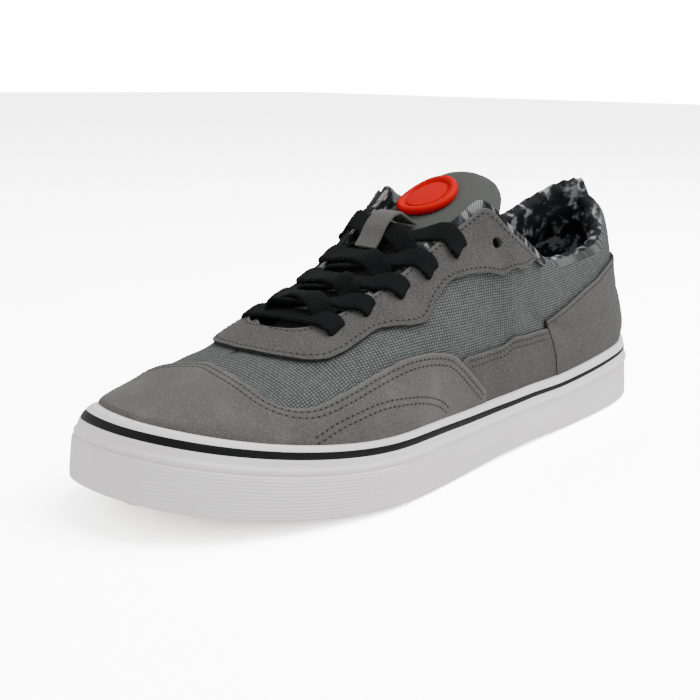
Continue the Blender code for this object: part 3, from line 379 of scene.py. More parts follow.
class Tap:
    # a socket that can be used in sums
    def __init__(self, paint, socket):
        self.paint, self.socket = paint, socket

    def sum(self, operation, *values):
        return self.paint.node("ShaderNodeMath", {"operation": operation}, values)

    def __add__(self, other): return self.sum("ADD", self, other)
    def __radd__(self, other): return self.sum("ADD", other, self)
    def __sub__(self, other): return self.sum("SUBTRACT", self, other)
    def __rsub__(self, other): return self.sum("SUBTRACT", other, self)
    def __mul__(self, other): return self.sum("MULTIPLY", self, other)
    def __rmul__(self, other): return self.sum("MULTIPLY", other, self)
    def __pow__(self, other): return self.sum("POWER", self, other)
    def __abs__(self): return self.sum("ABSOLUTE", self)
    def sin(self): return self.sum("SINE", self)


class Paint:
    # a material and its nodes
    def __init__(self, name, **fixed):
        self.material = bpy.data.materials.new(name)
        self.material.use_nodes = True
        self.tree = self.material.node_tree
        self.shader = self.tree.nodes["Principled BSDF"]
        for socket, value in fixed.items():
            self.shader.inputs[socket.replace("_", " ")].default_value = value

    def node(self, kind, settings=None, values=(), out=0):
        node = self.tree.nodes.new(kind)
        for key, value in (settings or {}).items():
            if key == "stops":
                ramp = node.color_ramp
                while len(ramp.elements) < len(value):
                    ramp.elements.new(1.0)
                for element, (place, colour) in zip(ramp.elements, value):
                    element.position, element.color = place, colour
            else:
                setattr(node, key, value)
        pairs = values.items() if isinstance(values, dict) else enumerate(values)
        for key, value in pairs:
            if isinstance(value, Tap):
                self.tree.links.new(value.socket, node.inputs[key])
            else:
                node.inputs[key].default_value = value
        return Tap(self, node.outputs[out])

    def place(self, stretch=(1, 1, 1), turn=(0, 0, 0)):
        spot = self.node("ShaderNodeTexCoord", out=3)
        return self.node("ShaderNodeMapping", {}, {"Vector": spot, "Rotation": turn, "Scale": stretch})

    def noise(self, scale, detail=2.0, rough=0.5, at=None, out=0):
        at = at or self.place()
        values = {"Vector": at, "Scale": scale, "Detail": detail, "Roughness": rough}
        return self.node("ShaderNodeTexNoise", {}, values, out)

    def cloth(self):
        # the piece's own flat coordinates, whole and as their two parts
        spot = self.node("ShaderNodeUVMap", {"uv_map": "cloth"})
        parts = self.node("ShaderNodeSeparateXYZ", {}, [spot])
        return spot, parts, Tap(self, parts.socket.node.outputs[1])

    def ramp(self, value, low, high, first=0.0, second=1.0):
        values = {"Value": value, "From Min": low, "From Max": high, "To Min": first, "To Max": second}
        return self.node("ShaderNodeMapRange", {"interpolation_type": "SMOOTHSTEP"}, values)

    def mix(self, share, first, second, blend="MIX"):
        return self.node("ShaderNodeMix", {"data_type": "RGBA", "blend_type": blend},
                         {0: share, 6: first, 7: second}, 2)

    def bump(self, height, distance, strength=1.0, under=None):
        values = {"Height": height, "Distance": distance, "Strength": strength}
        if under:
            values["Normal"] = under
        return self.node("ShaderNodeBump", {}, values)

    def feed(self, **links):
        for socket, tap in links.items():
            self.tree.links.new(tap.socket, self.shader.inputs[socket.replace("_", " ")])
        return self.material


def tone(red, green, blue):
    # a colour given as 0-255 screen values
    values = [channel / 255 for channel in (red, green, blue)]
    return tuple(v / 12.92 if v <= 0.04045 else ((v + 0.055) / 1.055) ** 2.4 for v in values) + (1.0,)


# light is the threads' colour; dark is painted shade for the gaps between them
canvasLook = dict(pitch=(0.00105, 0.00120), light=tone(110, 114, 112), dark=tone(32, 36, 36), cloud=tone(74, 74, 72),
                  contrast=0.80, relief=0.00022, roughness=0.92)
tongueClothLook = dict(pitch=(0.00042, 0.00046), light=tone(88, 90, 88), dark=tone(68, 70, 68), cloud=tone(74, 74, 72),
                       contrast=0.60, relief=0.00005, roughness=0.92)


def weave(paint, pitch):
    # plain weave seen from afar: a raised dot where a thread crosses over, and painted shade in the gap between dots
    spot, u, v = paint.cloth()
    a, b = u * (math.pi / pitch[0]), v * (math.pi / pitch[1])
    dots = abs(a.sin()) * abs(b.sin())
    turns = a.sin() * b.sin()
    counted = paint.node("ShaderNodeVectorMath", {"operation": "MULTIPLY"}, [spot, (1 / pitch[0], 1 / pitch[1], 1.0)])
    cell = paint.node("ShaderNodeVectorMath", {"operation": "FLOOR"}, [counted])
    threads = paint.node("ShaderNodeTexWhiteNoise", {"noise_dimensions": "2D"}, {"Vector": cell})
    return dots * 0.85 + turns * 0.15, threads


def makeCanvas(name, look):
    paint = Paint(name, Roughness=look["roughness"], Specular_IOR_Level=0.25)
    height, threads = weave(paint, look["pitch"])
    fuzz = paint.noise(2600, 2)
    # the gaps between dots take the dark colour, which is painted shade; the per-thread noise is the yarn's own tone
    shade = paint.ramp(height, 0.05, 0.72) * look["contrast"] + threads * 0.20 + fuzz * 0.14
    colour = paint.mix(shade, look["dark"], look["light"])
    cloud = paint.noise(55, 3, 0.6)
    colour = paint.mix(paint.ramp(cloud, 0.3, 0.7, 0.0, 0.10), colour, look["cloud"])
    relief = paint.bump(height + fuzz * 0.25, look["relief"])
    relief = paint.bump(paint.noise(180, 2), 0.0006, 0.35, relief)
    return paint.feed(Base_Color=colour, Normal=relief)


suedeLook = dict(light=tone(112, 111, 110), mid=tone(70, 69, 68), dark=tone(42, 41, 40), roughness=0.95, wear=0.14,
                 grain=1.0)
toeLook = dict(light=tone(122, 121, 119), mid=tone(83, 82, 81), dark=tone(56, 55, 54), roughness=0.95, wear=0.34,
               grain=0.8)
heelLook = dict(light=tone(112, 111, 109), mid=tone(73, 72, 71), dark=tone(44, 43, 42), roughness=0.95, wear=0.12,
                grain=1.0)


def makeSuede(name, look):
    paint = Paint(name, Roughness=look["roughness"], Specular_IOR_Level=0.2, Sheen_Weight=0.06, Sheen_Roughness=0.5)
    grain = look["grain"]
    nap = paint.noise(2300, 2, 0.75)
    specks = paint.noise(1500, 2, 0.7, paint.place((1, 1.3, 1), (0.3, 0.2, 0.5)))
    brushed = paint.noise(120, 4, 0.62, paint.place((0.8, 1.3, 1.0), (0.4, 0.1, 0.9)))
    cloud = paint.noise(34, 3, 0.55)
    colour = paint.mix(paint.ramp(brushed, 0.25, 0.75, 0.55, 1.0), look["dark"], look["mid"])
    colour = paint.mix(paint.ramp(cloud, 0.35, 0.75, 0.40, 0.85), colour, look["mid"])
    colour = paint.mix(paint.ramp(cloud, 0.46, 0.74, 0.0, look["wear"]), colour, look["light"])
    colour = paint.mix(paint.ramp(nap, 0.44, 0.66, 0.0, 0.62 * grain), colour, look["light"])
    colour = paint.mix(paint.ramp(specks, 0.44, 0.28, 0.0, 0.60 * grain), colour, look["dark"])
    worn = paint.node("ShaderNodeAttribute", {"attribute_name": "edge"}, out=2)
    colour = paint.mix(paint.ramp(worn, 0.0014, 0.0002, 0.0, 0.30), colour, look["light"])
    relief = paint.bump(nap + specks * 0.5, 0.00030 * grain, 0.8)
    relief = paint.bump(brushed, 0.0007, 0.25, relief)
    return paint.feed(Base_Color=colour, Normal=relief)


def makeRawEdge(name):
    # the cut edge of the hide: dark core with pale fibres
    paint = Paint(name, Roughness=0.98)
    fibre = paint.noise(2400, 2, 0.7)
    colour = paint.mix(paint.ramp(fibre, 0.35, 0.75), tone(26, 25, 27), tone(66, 64, 64))
    return paint.feed(Base_Color=colour, Normal=paint.bump(fibre, 0.0003, 0.9))


def makeRubber(name, base, shade, roughness, grain=0.00003):
    paint = Paint(name, IOR=1.48)
    smear = paint.noise(26, 4, 0.6, paint.place((1, 0.5, 2.0)))
    fine = paint.noise(1500, 2, 0.5)
    colour = paint.mix(paint.ramp(smear, 0.35, 0.8), base, shade)
    rough = roughness + smear * 0.14 - 0.07
    return paint.feed(Base_Color=colour, Roughness=rough, Normal=paint.bump(fine, grain, 0.6))


camoLook = dict(blotch=118.0, ridgeDepth=0.00006, tones=[
    (0.00, tone(5, 6, 8)), (0.44, tone(9, 10, 13)), (0.51, tone(28, 30, 35)),
    (0.59, tone(46, 48, 54)), (0.67, tone(88, 90, 94)), (0.77, tone(150, 151, 154))])


def makeCamo(name, look):
    # soft woven blotches in blacks, greys and off-whites
    paint = Paint(name, Roughness=0.78, Specular_IOR_Level=0.25)
    drift = paint.noise(60, 2, 0.5, out=1)
    shift = paint.node("ShaderNodeVectorMath", {"operation": "MULTIPLY_ADD"},
                       [drift, (0.010, 0.010, 0.010), paint.place()])
    broad = paint.noise(look["blotch"], 2.5, 0.55, shift)
    small = paint.noise(look["blotch"] * 2.7, 2, 0.5, shift)
    field = broad * 0.70 + small * 0.30
    blotches = paint.node("ShaderNodeValToRGB", {"stops": look["tones"]}, [paint.ramp(field, 0.26, 0.74)])
    ridges = paint.noise(2300, 1, 0.5)
    colour = paint.mix(paint.ramp(ridges, 0.3, 0.7, 0.0, 0.35), blotches, tone(20, 20, 24))
    relief = paint.bump(ridges, look["ridgeDepth"], 0.8)
    relief = paint.bump(paint.noise(150, 2), 0.0009, 0.4, relief)
    return paint.feed(Base_Color=colour, Normal=relief)


tapeLook = dict(ribs=0.00105, slant=0.0030, ribTone=tone(30, 31, 36), tones=[
    (0.0, tone(16, 17, 20)), (0.46, tone(30, 31, 36)), (0.54, tone(84, 85, 88)), (0.62, tone(150, 150, 152))])


def makeTape(name, look):
    # ribbed tape with the lining's blotches, drawn out along the tape
    paint = Paint(name, Roughness=0.78, Specular_IOR_Level=0.25)
    spot, u, v = paint.cloth()
    stretched = paint.node("ShaderNodeVectorMath", {"operation": "MULTIPLY"}, [spot, (1.0, 0.2, 1.0)])
    blotch = paint.noise(150, 2, 0.5, stretched)
    base = paint.node("ShaderNodeValToRGB", {"stops": look["tones"]}, [paint.ramp(blotch, 0.25, 0.75)])
    hatch = (u * (2 * math.pi / look["ribs"]) + v * (2 * math.pi / look["slant"])).sin()
    colour = paint.mix(paint.ramp(hatch, -0.2, 0.9, 0.0, 0.55), base, look["ribTone"])
    return paint.feed(Base_Color=colour, Normal=paint.bump(hatch, 0.00018, 0.9))


laceLook = dict(ribs=0.00105, stitch=0.00120, dark=tone(2, 2, 3), light=tone(17, 19, 20))


def makeLace(name, look):
    # flat tubular braid: lengthwise ribs of small slanting stitches
    paint = Paint(name, Roughness=0.92, Specular_IOR_Level=0.15)
    u, v = paint.cloth()[1:]
    rib = v * (math.pi / look["ribs"])
    slant = u * (math.pi / look["stitch"])
    knit = abs((slant + abs(rib.sin()) * 1.3).sin())
    height = abs(rib.sin()) ** 0.7 * 0.7 + knit * 0.3
    fuzz = paint.noise(2500, 2)
    # darker in the grooves between ribs and stitches, lighter on their crests: painted shade following the braid's
    # relief
    colour = paint.mix(paint.ramp(height + fuzz * 0.2, 0.35, 1.1), look["dark"], look["light"])
    return paint.feed(Base_Color=colour, Normal=paint.bump(height + fuzz * 0.15, 0.00026, 0.9))


def makePlain(name, colour, roughness, fine=1500, depth=0.00005, spread=0.12, shine=0.35):
    paint = Paint(name, Specular_IOR_Level=shine)
    grain = paint.noise(fine, 3, 0.6)
    shade = tuple(channel * 0.72 for channel in colour[:3]) + (1.0,)
    rough = roughness + grain * spread - spread / 2
    return paint.feed(Base_Color=paint.mix(grain, shade, colour), Roughness=rough,
                      Normal=paint.bump(grain, depth, 0.8))


canvas = makeCanvas("greyCanvas", canvasLook)
tongueCanvas = makeCanvas("tongueCanvas", tongueClothLook)
suede = makeSuede("quarterSuede", suedeLook)
heelSuede = makeSuede("heelSuede", heelLook)
toeSuede = makeSuede("toeSuede", toeLook)
rawEdge = makeRawEdge("cutSuede")
whiteRubber = makeRubber("whiteRubber", tone(248, 243, 243), tone(238, 232, 234), 0.48)
bumperRubber = makeRubber("bumperRubber", tone(248, 243, 243), tone(238, 232, 234), 0.58, 0.00006)
outsoleRubber = makeRubber("outsoleRubber", tone(226, 222, 214), tone(206, 201, 192), 0.62, 0.00008)
blackRubber = makePlain("blackRubber", tone(7, 9, 10), 0.50, shine=0.20)
badgeRubber = makePlain("badgeRubber", tone(212, 0, 0), 0.55, 1200, 0.00004, shine=0.08)
camoLining = makeCamo("camoLining", camoLook)
camoTape = makeTape("camoTape", tapeLook)
laceCloth = makeLace("laceCloth", laceLook)
threadGrey = makePlain("threadGrey", tone(88, 86, 83), 0.85, 3000)
# painted shade: flat dark discs standing for the shaded hollow of stitch pinholes and the shadowed inside behind the
# empty eyelets
holeShade = makePlain("holeShade", tone(34, 33, 34), 0.95, 3000, shine=0.1)
insoleCloth = makePlain("insoleCloth", tone(30, 31, 35), 0.92, 1400, 0.0002)
midsoleFoam = makePlain("midsoleFoam", tone(214, 211, 200), 0.9, 900, 0.0002)
print("finishes made")

# Mesh helpers


def gridMesh(countU, countV):
    bm = bmesh.new()
    bmesh.ops.create_grid(bm, x_segments=countU, y_segments=countV, size=0.5)
    spots = np.array([vert.co[:2] for vert in bm.verts]) + 0.5
    return bm, spots[:, 0], spots[:, 1]


def shapeMesh(bm, points, cloth=None, edge=None):
    # moves a grid's vertices into place and gives it cloth coordinates in metres
    for vert, point in zip(bm.verts, points):
        vert.co = point
    bm.verts.index_update()
    if cloth is not None:
        layer = bm.loops.layers.uv.new("cloth")
        for face in bm.faces:
            for loop in face.loops:
                loop[layer].uv = cloth[loop.vert.index]
    if edge is not None:
        layer = bm.verts.layers.float.new("edge")
        for vert, value in zip(bm.verts, edge):
            vert[layer] = value


def closeEnds(bm, weld):
    # welds a swept grid and caps what is left open
    bmesh.ops.remove_doubles(bm, verts=bm.verts, dist=weld)
    bmesh.ops.holes_fill(bm, edges=[edge for edge in bm.edges if edge.is_boundary], sides=0)


def meshFrom(name, bm):
    mesh = bpy.data.meshes.new(name)
    bm.to_mesh(mesh)
    bm.free()
    return mesh


def newObject(name, data):
    made = bpy.data.objects.new(name, data)
    bpy.context.scene.collection.objects.link(made)
    return made


def facing(spot, direction):
    # a placing at a spot with Z along a direction
    turn = Vector(direction).to_track_quat("Z", "Y").to_matrix().to_4x4()
    turn.translation = Vector(spot)
    return turn


def addPiece(name, bm, finishes, nodes=(), weld=1e-5, outward=True, sharp=None):
    if weld:
        bmesh.ops.remove_doubles(bm, verts=bm.verts, dist=weld)
        bmesh.ops.dissolve_degenerate(bm, edges=bm.edges, dist=weld / 2)
    if outward:
        bmesh.ops.recalc_face_normals(bm, faces=bm.faces)
    mesh = meshFrom(name, bm)
    for finish in finishes:
        mesh.materials.append(finish)
    mesh.shade_smooth()
    if sharp:
        mesh.set_sharp_from_angle(angle=math.radians(sharp))
    piece = newObject(name, mesh)
    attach(piece, "root")
    if nodes:
        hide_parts(*nodes)
    return piece


def faceOut(bm, normals):
    # turns a sheet so that its faces look the way the last's surface does
    bm.faces.ensure_lookup_table()
    bm.normal_update()
    agree = sum(face.normal.dot(Vector(normals[face.verts[0].index])) for face in bm.faces)
    if agree < 0:
        bmesh.ops.reverse_faces(bm, faces=bm.faces)


def surfaceOf(pieces):
    # finished surfaces of pieces, for dropping things on
    bpy.context.view_layer.update()
    graph = bpy.context.evaluated_depsgraph_get()
    trees = []
    for piece in pieces:
        bm = bmesh.new()
        bm.from_object(piece, graph)
        trees.append(BVHTree.FromBMesh(bm))
        bm.free()
    return trees


def lengthAlong(points):
    return np.concatenate([[0.0], np.cumsum(np.linalg.norm(np.diff(points, axis=0), axis=1))])


def outlineLength(ways):
    return lengthAlong(np.column_stack([outlinePoint(ways), ways * 0]))


def evenly(points, step, margin=0.0):
    # points an even step apart on a line
    run = lengthAlong(points)
    count = max(int(round((run[-1] - 2 * margin) / step)), 1)
    marks = np.linspace(margin, run[-1] - margin, count + 1)
    return np.stack([np.interp(marks, run, points[:, k]) for k in range(3)], -1)


def blurred(values, size):
    # softens a run of rows without moving its ends
    half = int(3 * size)
    kernel = np.exp(-0.5 * (np.arange(-half, half + 1) / size) ** 2)
    kernel /= kernel.sum()
    padded = np.concatenate([2 * values[:1] - values[half:0:-1], values, 2 * values[-1:] - values[-2:-half - 2:-1]])
    return np.stack([np.convolve(padded[:, k], kernel, mode="valid") for k in range(values.shape[1])], -1)


# Upper: canvas outside, padded collar, printed lining inside

upperLook = dict(stations=440, outerSteps=46, innerSteps=26, rollSteps=10, throatDensity=7.0, endDensity=1.6,
                 cornerDensity=1.5, corner=0.440, pucker=0.00032, puckerLength=0.0068, puckerReach=0.010)


def stationWays(look):
    # ways round the outline, closer at the ends and at the front of the throat, in pairs
    ways = np.linspace(0, 0.5, 4001)
    ends = np.exp(-(ways / 0.05) ** 2) + np.exp(-((0.5 - ways) / 0.05) ** 2)
    along = squeezed(outlineAt(ways)[:, 0])
    throat = np.exp(-((along - (throatFront - 0.004)) / 0.010) ** 2)
    corner = np.exp(-((along - look["corner"]) / 0.025) ** 2)
    density = 1 + look["endDensity"] * ends + look["throatDensity"] * throat + look["cornerDensity"] * corner
    run = np.concatenate([[0.0], np.cumsum((density[1:] + density[:-1]) / 2)])
    half = look["stations"] // 2
    lateral = np.interp(np.linspace(0, run[-1], half + 1), run, ways)
    return np.concatenate([lateral, 1 - lateral[-2::-1]])


def girth(way, count=60):
    # cloth coordinates: length up each rib, square to the shoe's axis
    shares = np.linspace(0, 1, count)
    rows = formBase(way[:, None], between(way[:, None], 0.0, 1.0, shares[None, :]))
    step = np.linalg.norm(np.diff(rows[..., [0, 2]], axis=1), axis=-1)
    return shares, np.concatenate([np.zeros((len(way), 1)), np.cumsum(step, axis=1)], axis=1)


girthWays = np.linspace(0, 1, 801)
girthShares, girthRuns = girth(girthWays)
outlineRun = outlineLength(edgeWays)
heelTurn = 0.30  # behind this share the weave follows the outline
throatTotals = [float(np.interp(wayOf(throatFront, side), girthWays, girthRuns[:, -1])) for side in (False, True)]


def clothSpot(way, up):
    # flat coordinates of the canvas in metres, joined along the ridge of the vamp
    way = np.asarray(way) % 1.0
    bend = readRows(formRows, squeezed(outlineAt(way)[..., 0]), 3) / 2
    share = np.clip(up, 0, 1) ** (1 / bend) * (len(girthShares) - 1)
    row = way * (len(girthWays) - 1)
    i, j = np.minimum(row.astype(int), len(girthWays) - 2), np.minimum(share.astype(int), len(girthShares) - 2)
    a, b = row - i, share - j
    run = ((1 - a) * ((1 - b) * girthRuns[i, j] + b * girthRuns[i, j + 1])
           + a * ((1 - b) * girthRuns[i + 1, j] + b * girthRuns[i + 1, j + 1]))
    total = np.interp(way, girthWays, girthRuns[:, -1])
    inner = way > 0.5
    rear = np.where(inner, throatTotals[1], throatTotals[0])
    along = outlineAt(way)[..., 0]
    across = np.where(along > throatFront, total, rear) - run
    turn = wayOf(heelTurn, inner)
    heel = placeY(heelTurn) + np.abs(np.interp(way, edgeWays, outlineRun) - np.interp(turn, edgeWays, outlineRun))
    lengthwise = np.where(along < heelTurn, heel, formBase(way, up)[..., 1])
    return np.stack([np.where(inner, -across, across), lengthwise], -1)


def buildUpper(look):
    ways = stationWays(look)
    countU = len(ways) - 1
    outer, roll, inner = look["outerSteps"], look["rollSteps"], look["innerSteps"]
    countV = outer + 1 + roll + inner + 2
    bm, u, v = gridMesh(countU, countV)
    i, j = np.rint(u * countU).astype(int), np.rint(v * countV).astype(int)
    way = ways[i] % 1.0
    tops = edgeUp(ways)
    top = tops[i]
    shut = top >= 0.99999
    # outer side: foot, then even steps to the edge
    outSide = np.clip(j - 1, 0, outer) / outer
    inSide = np.clip(outer + 1 + roll + inner - j, 0, inner) / inner
    share = np.where(j <= outer + 1, outSide, inSide)
    up = np.where((j == 0) | (j >= countV - 1), -1.0, between(way, 0.0, top, share))
    base = formBase(way, up)
    normal = formNormal(way, up)
    along = alongOf(base[:, 1])
    reach = edgeReach(way, base)
    pad = last["wall"] + collarPad(alongOf(formBase(way, top)[:, 1])) * (
        1 - smoothStep(reach, 0.3 * last["collarDepth"], last["collarDepth"]))
    girthRun = lengthAlong(formBase(ways, tops))[i]
    soft = 1 - smoothStep(along, 0.40, 0.46)
    wave = np.sin(girthRun * 2 * math.pi / look["puckerLength"] + 1.2 * np.sin(girthRun * 140))
    pucker = look["pucker"] * soft * wave * np.exp(-(reach / look["puckerReach"]) ** 2)
    lift = drape(way, base)
    onInner = (j > outer + roll) & (j < countV)
    points = base + normal * np.where(onInner, -pad - pucker, lift)[:, None]
    # rolled edge between the outer and the inner side
    edgeOut = onLast(way, top)
    edgeBase, edgeNormal = formBase(way, top), formNormal(way, top)
    edgePad = last["wall"] + collarPad(alongOf(edgeBase[:, 1]))
    edgeIn = edgeBase - edgeNormal * (edgePad + look["pucker"] * soft * wave)[:, None]
    middle, half = (edgeOut + edgeIn) / 2, (edgeOut - edgeIn) / 2
    below = onLast(way, between(way, 0.0, top, 1 - 1 / outer))
    rise = unit(edgeOut - below) * np.linalg.norm(half, axis=-1)[:, None]
    turn = np.clip(j - (outer + 1), 0, roll) / roll * math.pi
    rolled = middle + half * np.cos(turn)[:, None] + rise * np.sin(turn)[:, None] * (
        1 + 0.10 * soft * wave * np.sin(turn))[:, None]
    flat = edgeOut + (edgeIn - edgeOut) * (turn / math.pi)[:, None]
    rolled = np.where(shut[:, None], flat, rolled)
    onRoll = (j >= outer + 1) & (j <= outer + 1 + roll)
    points = np.where(onRoll[:, None], rolled, points)
    cloth = clothSpot(way, np.where(onRoll, top, up))
    cloth[:, 0] += np.where(up < 0, 0.02, 0.0)
    shapeMesh(bm, points, cloth)
    doomed = []
    for face in bm.faces:
        spots = [vert.index for vert in face.verts]
        faceJ = max(j[k] for k in spots)
        if all(shut[k] for k in spots) and outer + 1 < faceJ <= outer + 1 + roll:
            doomed.append(face)
        elif faceJ > outer + 1 + roll * 0.30:
            face.material_index = 1
    bmesh.ops.delete(bm, geom=doomed, context="FACES")
    return addPiece("upperCloth", bm, [canvas, camoLining], ["upper"], weld=4e-5)


upperCloth = buildUpper(upperLook)
print("upper built")

# Panels sewn on the upper

panelLook = dict(top=0.0017, thick=0.0013, lower=0.0009, lowerTop=0.0013, soften=0.00040, tuckUp=-0.03)

toeCapRows = [  # along and up at the foot, along and up at the upper edge
    (0.500, 0.000, 0.500, 0.012), (0.520, 0.000, 0.520, 0.040), (0.545, 0.000, 0.545, 0.095),
    (0.580, 0.000, 0.580, 0.200), (0.625, 0.000, 0.625, 0.290), (0.671, 0.000, 0.671, 0.345),
    (0.717, 0.000, 0.717, 0.360), (0.770, 0.000, 0.770, 0.345), (0.805, 0.000, 0.808, 0.325),
    (0.830, 0.000, 0.838, 0.360), (0.850, 0.000, 0.853, 0.450), (0.870, 0.000, 0.858, 0.580),
    (0.895, 0.000, 0.862, 0.730), (0.920, 0.000, 0.866, 0.880), (0.945, 0.000, 0.868, 1.000),
    (0.970, 0.000, 0.930, 1.000), (1.000, 0.000, 1.000, 1.000),
]
counterRows = [
    (0.000, 0.000, 0.000, 0.085), (0.030, 0.000, 0.030, 0.085), (0.110, 0.000, 0.120, 0.083),
    (0.175, 0.000, 0.185, 0.072), (0.235, 0.000, 0.253, 0.066), (0.280, 0.000, 0.306, 0.062),
    (0.310, 0.000, 0.345, 0.055),
]
sidePanelRows = [
    (0.300, 0.000, 0.335, 0.044), (0.360, 0.000, 0.390, 0.048), (0.420, 0.000, 0.440, 0.060),
    (0.470, 0.000, 0.480, 0.084), (0.495, 0.000, 0.505, 0.100), (0.520, 0.000, 0.527, 0.116),
    (0.545, 0.000, 0.548, 0.132), (0.565, 0.000, 0.566, 0.120),
]
eyestayRows = [  # along and up of the outer edge
    (0.352, 0.190), (0.367, 0.180), (0.413, 0.180), (0.451, 0.233), (0.489, 0.333), (0.527, 0.417),
    (0.557, 0.467), (0.580, 0.460), (0.600, 0.417), (0.625, 0.450), (0.650, 0.517), (0.675, 0.567),
    (0.715, 0.567), (0.740, 0.580), (0.760, 0.630), (0.777, 0.717), (0.792, 0.850), (0.800, 0.985),
]
arcRows = [  # the stitched arc on the toe cap's wing: along and up
    (0.823, 0.067), (0.792, 0.167), (0.754, 0.200), (0.717, 0.200), (0.671, 0.150), (0.633, 0.100),
    (0.603, 0.050), (0.585, 0.010),
]


def panelFoot(rows, u, through, inner=False):
    # foot share and side of each place along a panel
    if through == "toe":
        start = wayOf(rows[0][0])
        return outlineAt(0.5 - (0.5 - start) * np.abs(2 * u - 1))[:, 0], u > 0.5
    if through == "heel":
        return outlineAt(wayOf(rows[-1][0]) * np.abs(2 * u - 1))[:, 0], u > 0.5
    start, end = wayOf(rows[0][0]), wayOf(rows[-1][0])
    return outlineAt(start + (end - start) * u)[:, 0], np.full(u.shape, inner)


def panelSpot(rows, u, t, through, inner=False):
    # way and up of a place on a panel: u along it, t from the foot to its upper edge
    at, side = panelFoot(rows, u, through, inner)
    along = at + (readRows(rows, at, 2) - at) * t
    way = wayOf(along, side)
    up = between(way, 0.0, np.maximum(readRows(rows, at, 3), 0.002), t)
    up = np.where(t <= 0, panelLook["tuckUp"], up)
    return way, np.where(up > 0.9999, 1.0, up)


def toeCapSpot(u, t):
    return panelSpot(toeCapRows, u, t, "toe")


def counterSpot(u, t):
    return panelSpot(counterRows, u, t, "heel")


def outerSideSpot(u, t):
    return panelSpot(sidePanelRows, u, t, "")


def innerSideSpot(u, t):
    return panelSpot(sidePanelRows, u, t, "", True)


eyestayLook = dict(setBack=0.0028, endRounding=0.016)


def eyestaySpot(u, t):
    # t 0 at the outer edge, 1 at the throat
    look = eyestayLook
    q = 1 - np.abs(2 * u - 1)
    start, end = eyestayRows[0][0], eyestayRows[-1][0]
    at = start + (end - start) * (q * (2 - q))
    at = at + look["endRounding"] * (2 * t - 1) ** 4 * np.clip(1 - q * 12, 0, 1)
    side = u > 0.5
    way = wayOf(at, side)
    edge = edgeUp(way)
    rib = np.linalg.norm(formBase(way, edge) - formBase(way, edge - 0.02), axis=-1) / 0.02
    inner = np.where(edge >= 0.99999, 1.0, edge - look["setBack"] / np.maximum(rib, 0.03))
    outer = np.minimum(readRows(eyestayRows, at, 1), inner - 0.010)
    up = outer + (inner - outer) * t
    return way, np.where(up > 0.9999, 1.0, up)


def buildPanel(name, spotOf, counts, finish, node, top=panelLook["top"], thick=panelLook["thick"]):
    # a sheet laid on the last, thickened downwards, with its cut edge softened
    bm, u, t = gridMesh(*counts)
    way, up = spotOf(u, t)
    points = onLast(way, up, top)
    borderWay, borderUp = spotOf(u, np.ones_like(t))
    edge = np.linalg.norm(points - onLast(borderWay, borderUp, top), axis=1)
    edge = np.where(borderUp > 0.9999, 1.0, edge)
    shapeMesh(bm, points, np.stack([u, t], -1), edge)
    faceOut(bm, formNormal(way, up))
    piece = addPiece(name, bm, [finish, rawEdge], [node], weld=2e-5, outward=False)
    solid = piece.modifiers.new("thickness", "SOLIDIFY")
    solid.thickness, solid.offset, solid.use_even_offset = thick, -1.0, False
    solid.material_offset_rim = 1
    soft = piece.modifiers.new("softEdge", "BEVEL")
    soft.width, soft.segments, soft.limit_method = panelLook["soften"], 3, "ANGLE"
    soft.angle_limit = math.radians(50)
    return piece


toeCap = buildPanel("toeCap", toeCapSpot, (300, 30), toeSuede, "toe_cap")
counter = buildPanel("heelCounter", counterSpot, (220, 34), heelSuede, "heel_counter")
sidePanels = [
    buildPanel(name, spotOf, (120, 24), suede, node, panelLook["lowerTop"], panelLook["lower"])
    for name, spotOf, node in (("outerSidePanel", outerSideSpot, "side_panel_lateral"),
                               ("innerSidePanel", innerSideSpot, "side_panel_medial"))
]
eyestay = buildPanel("eyestay", eyestaySpot, (360, 26), suede, "eyestay")
print("panels built")

# Eyelet holes, punched through the eyestay and the upper

eyeletLook = dict(diameter=0.0044, segments=24, depth=0.016)
eyeletRows = [(0.711, 0.715), (0.663, 0.695), (0.615, 0.640), (0.572, 0.600), (0.527, 0.550), (0.466, 0.385)]
eyelets = [  # centre and outward direction, pairs from the toe up, outer side first
    (onLast(way, up), formNormal(way, up))
    for along, up in eyeletRows for way in (wayOf(along), wayOf(along, True))
]


def punch(piece, look, solver):
    bm = bmesh.new()
    radius = look["diameter"] / 2
    for centre, normal in eyelets:
        bmesh.ops.create_cone(bm, cap_ends=True, segments=look["segments"], radius1=radius, radius2=radius,
                              depth=look["depth"], matrix=facing(centre, normal))
    tool = newObject("punch", meshFrom("punch", bm))
    cut = piece.modifiers.new("holes", "BOOLEAN")
    cut.operation, cut.solver, cut.object = "DIFFERENCE", solver, tool
    bpy.context.view_layer.update()
    graph = bpy.context.evaluated_depsgraph_get()
    done = bpy.data.meshes.new_from_object(piece.evaluated_get(graph))
    piece.modifiers.clear()
    old, piece.data = piece.data, done
    done.name = piece.name
    bpy.data.objects.remove(tool)
    bpy.data.meshes.remove(old)


punch(eyestay, eyeletLook, "MANIFOLD")
punch(upperCloth, eyeletLook, "EXACT")
print("eyelets punched")

# Binding tape round the throat and the front of the collar

bindingLook = dict(reach=0.0030, over=1.35, lift=0.0004, start=0.330, end=0.7415, rows=420, steps=12)


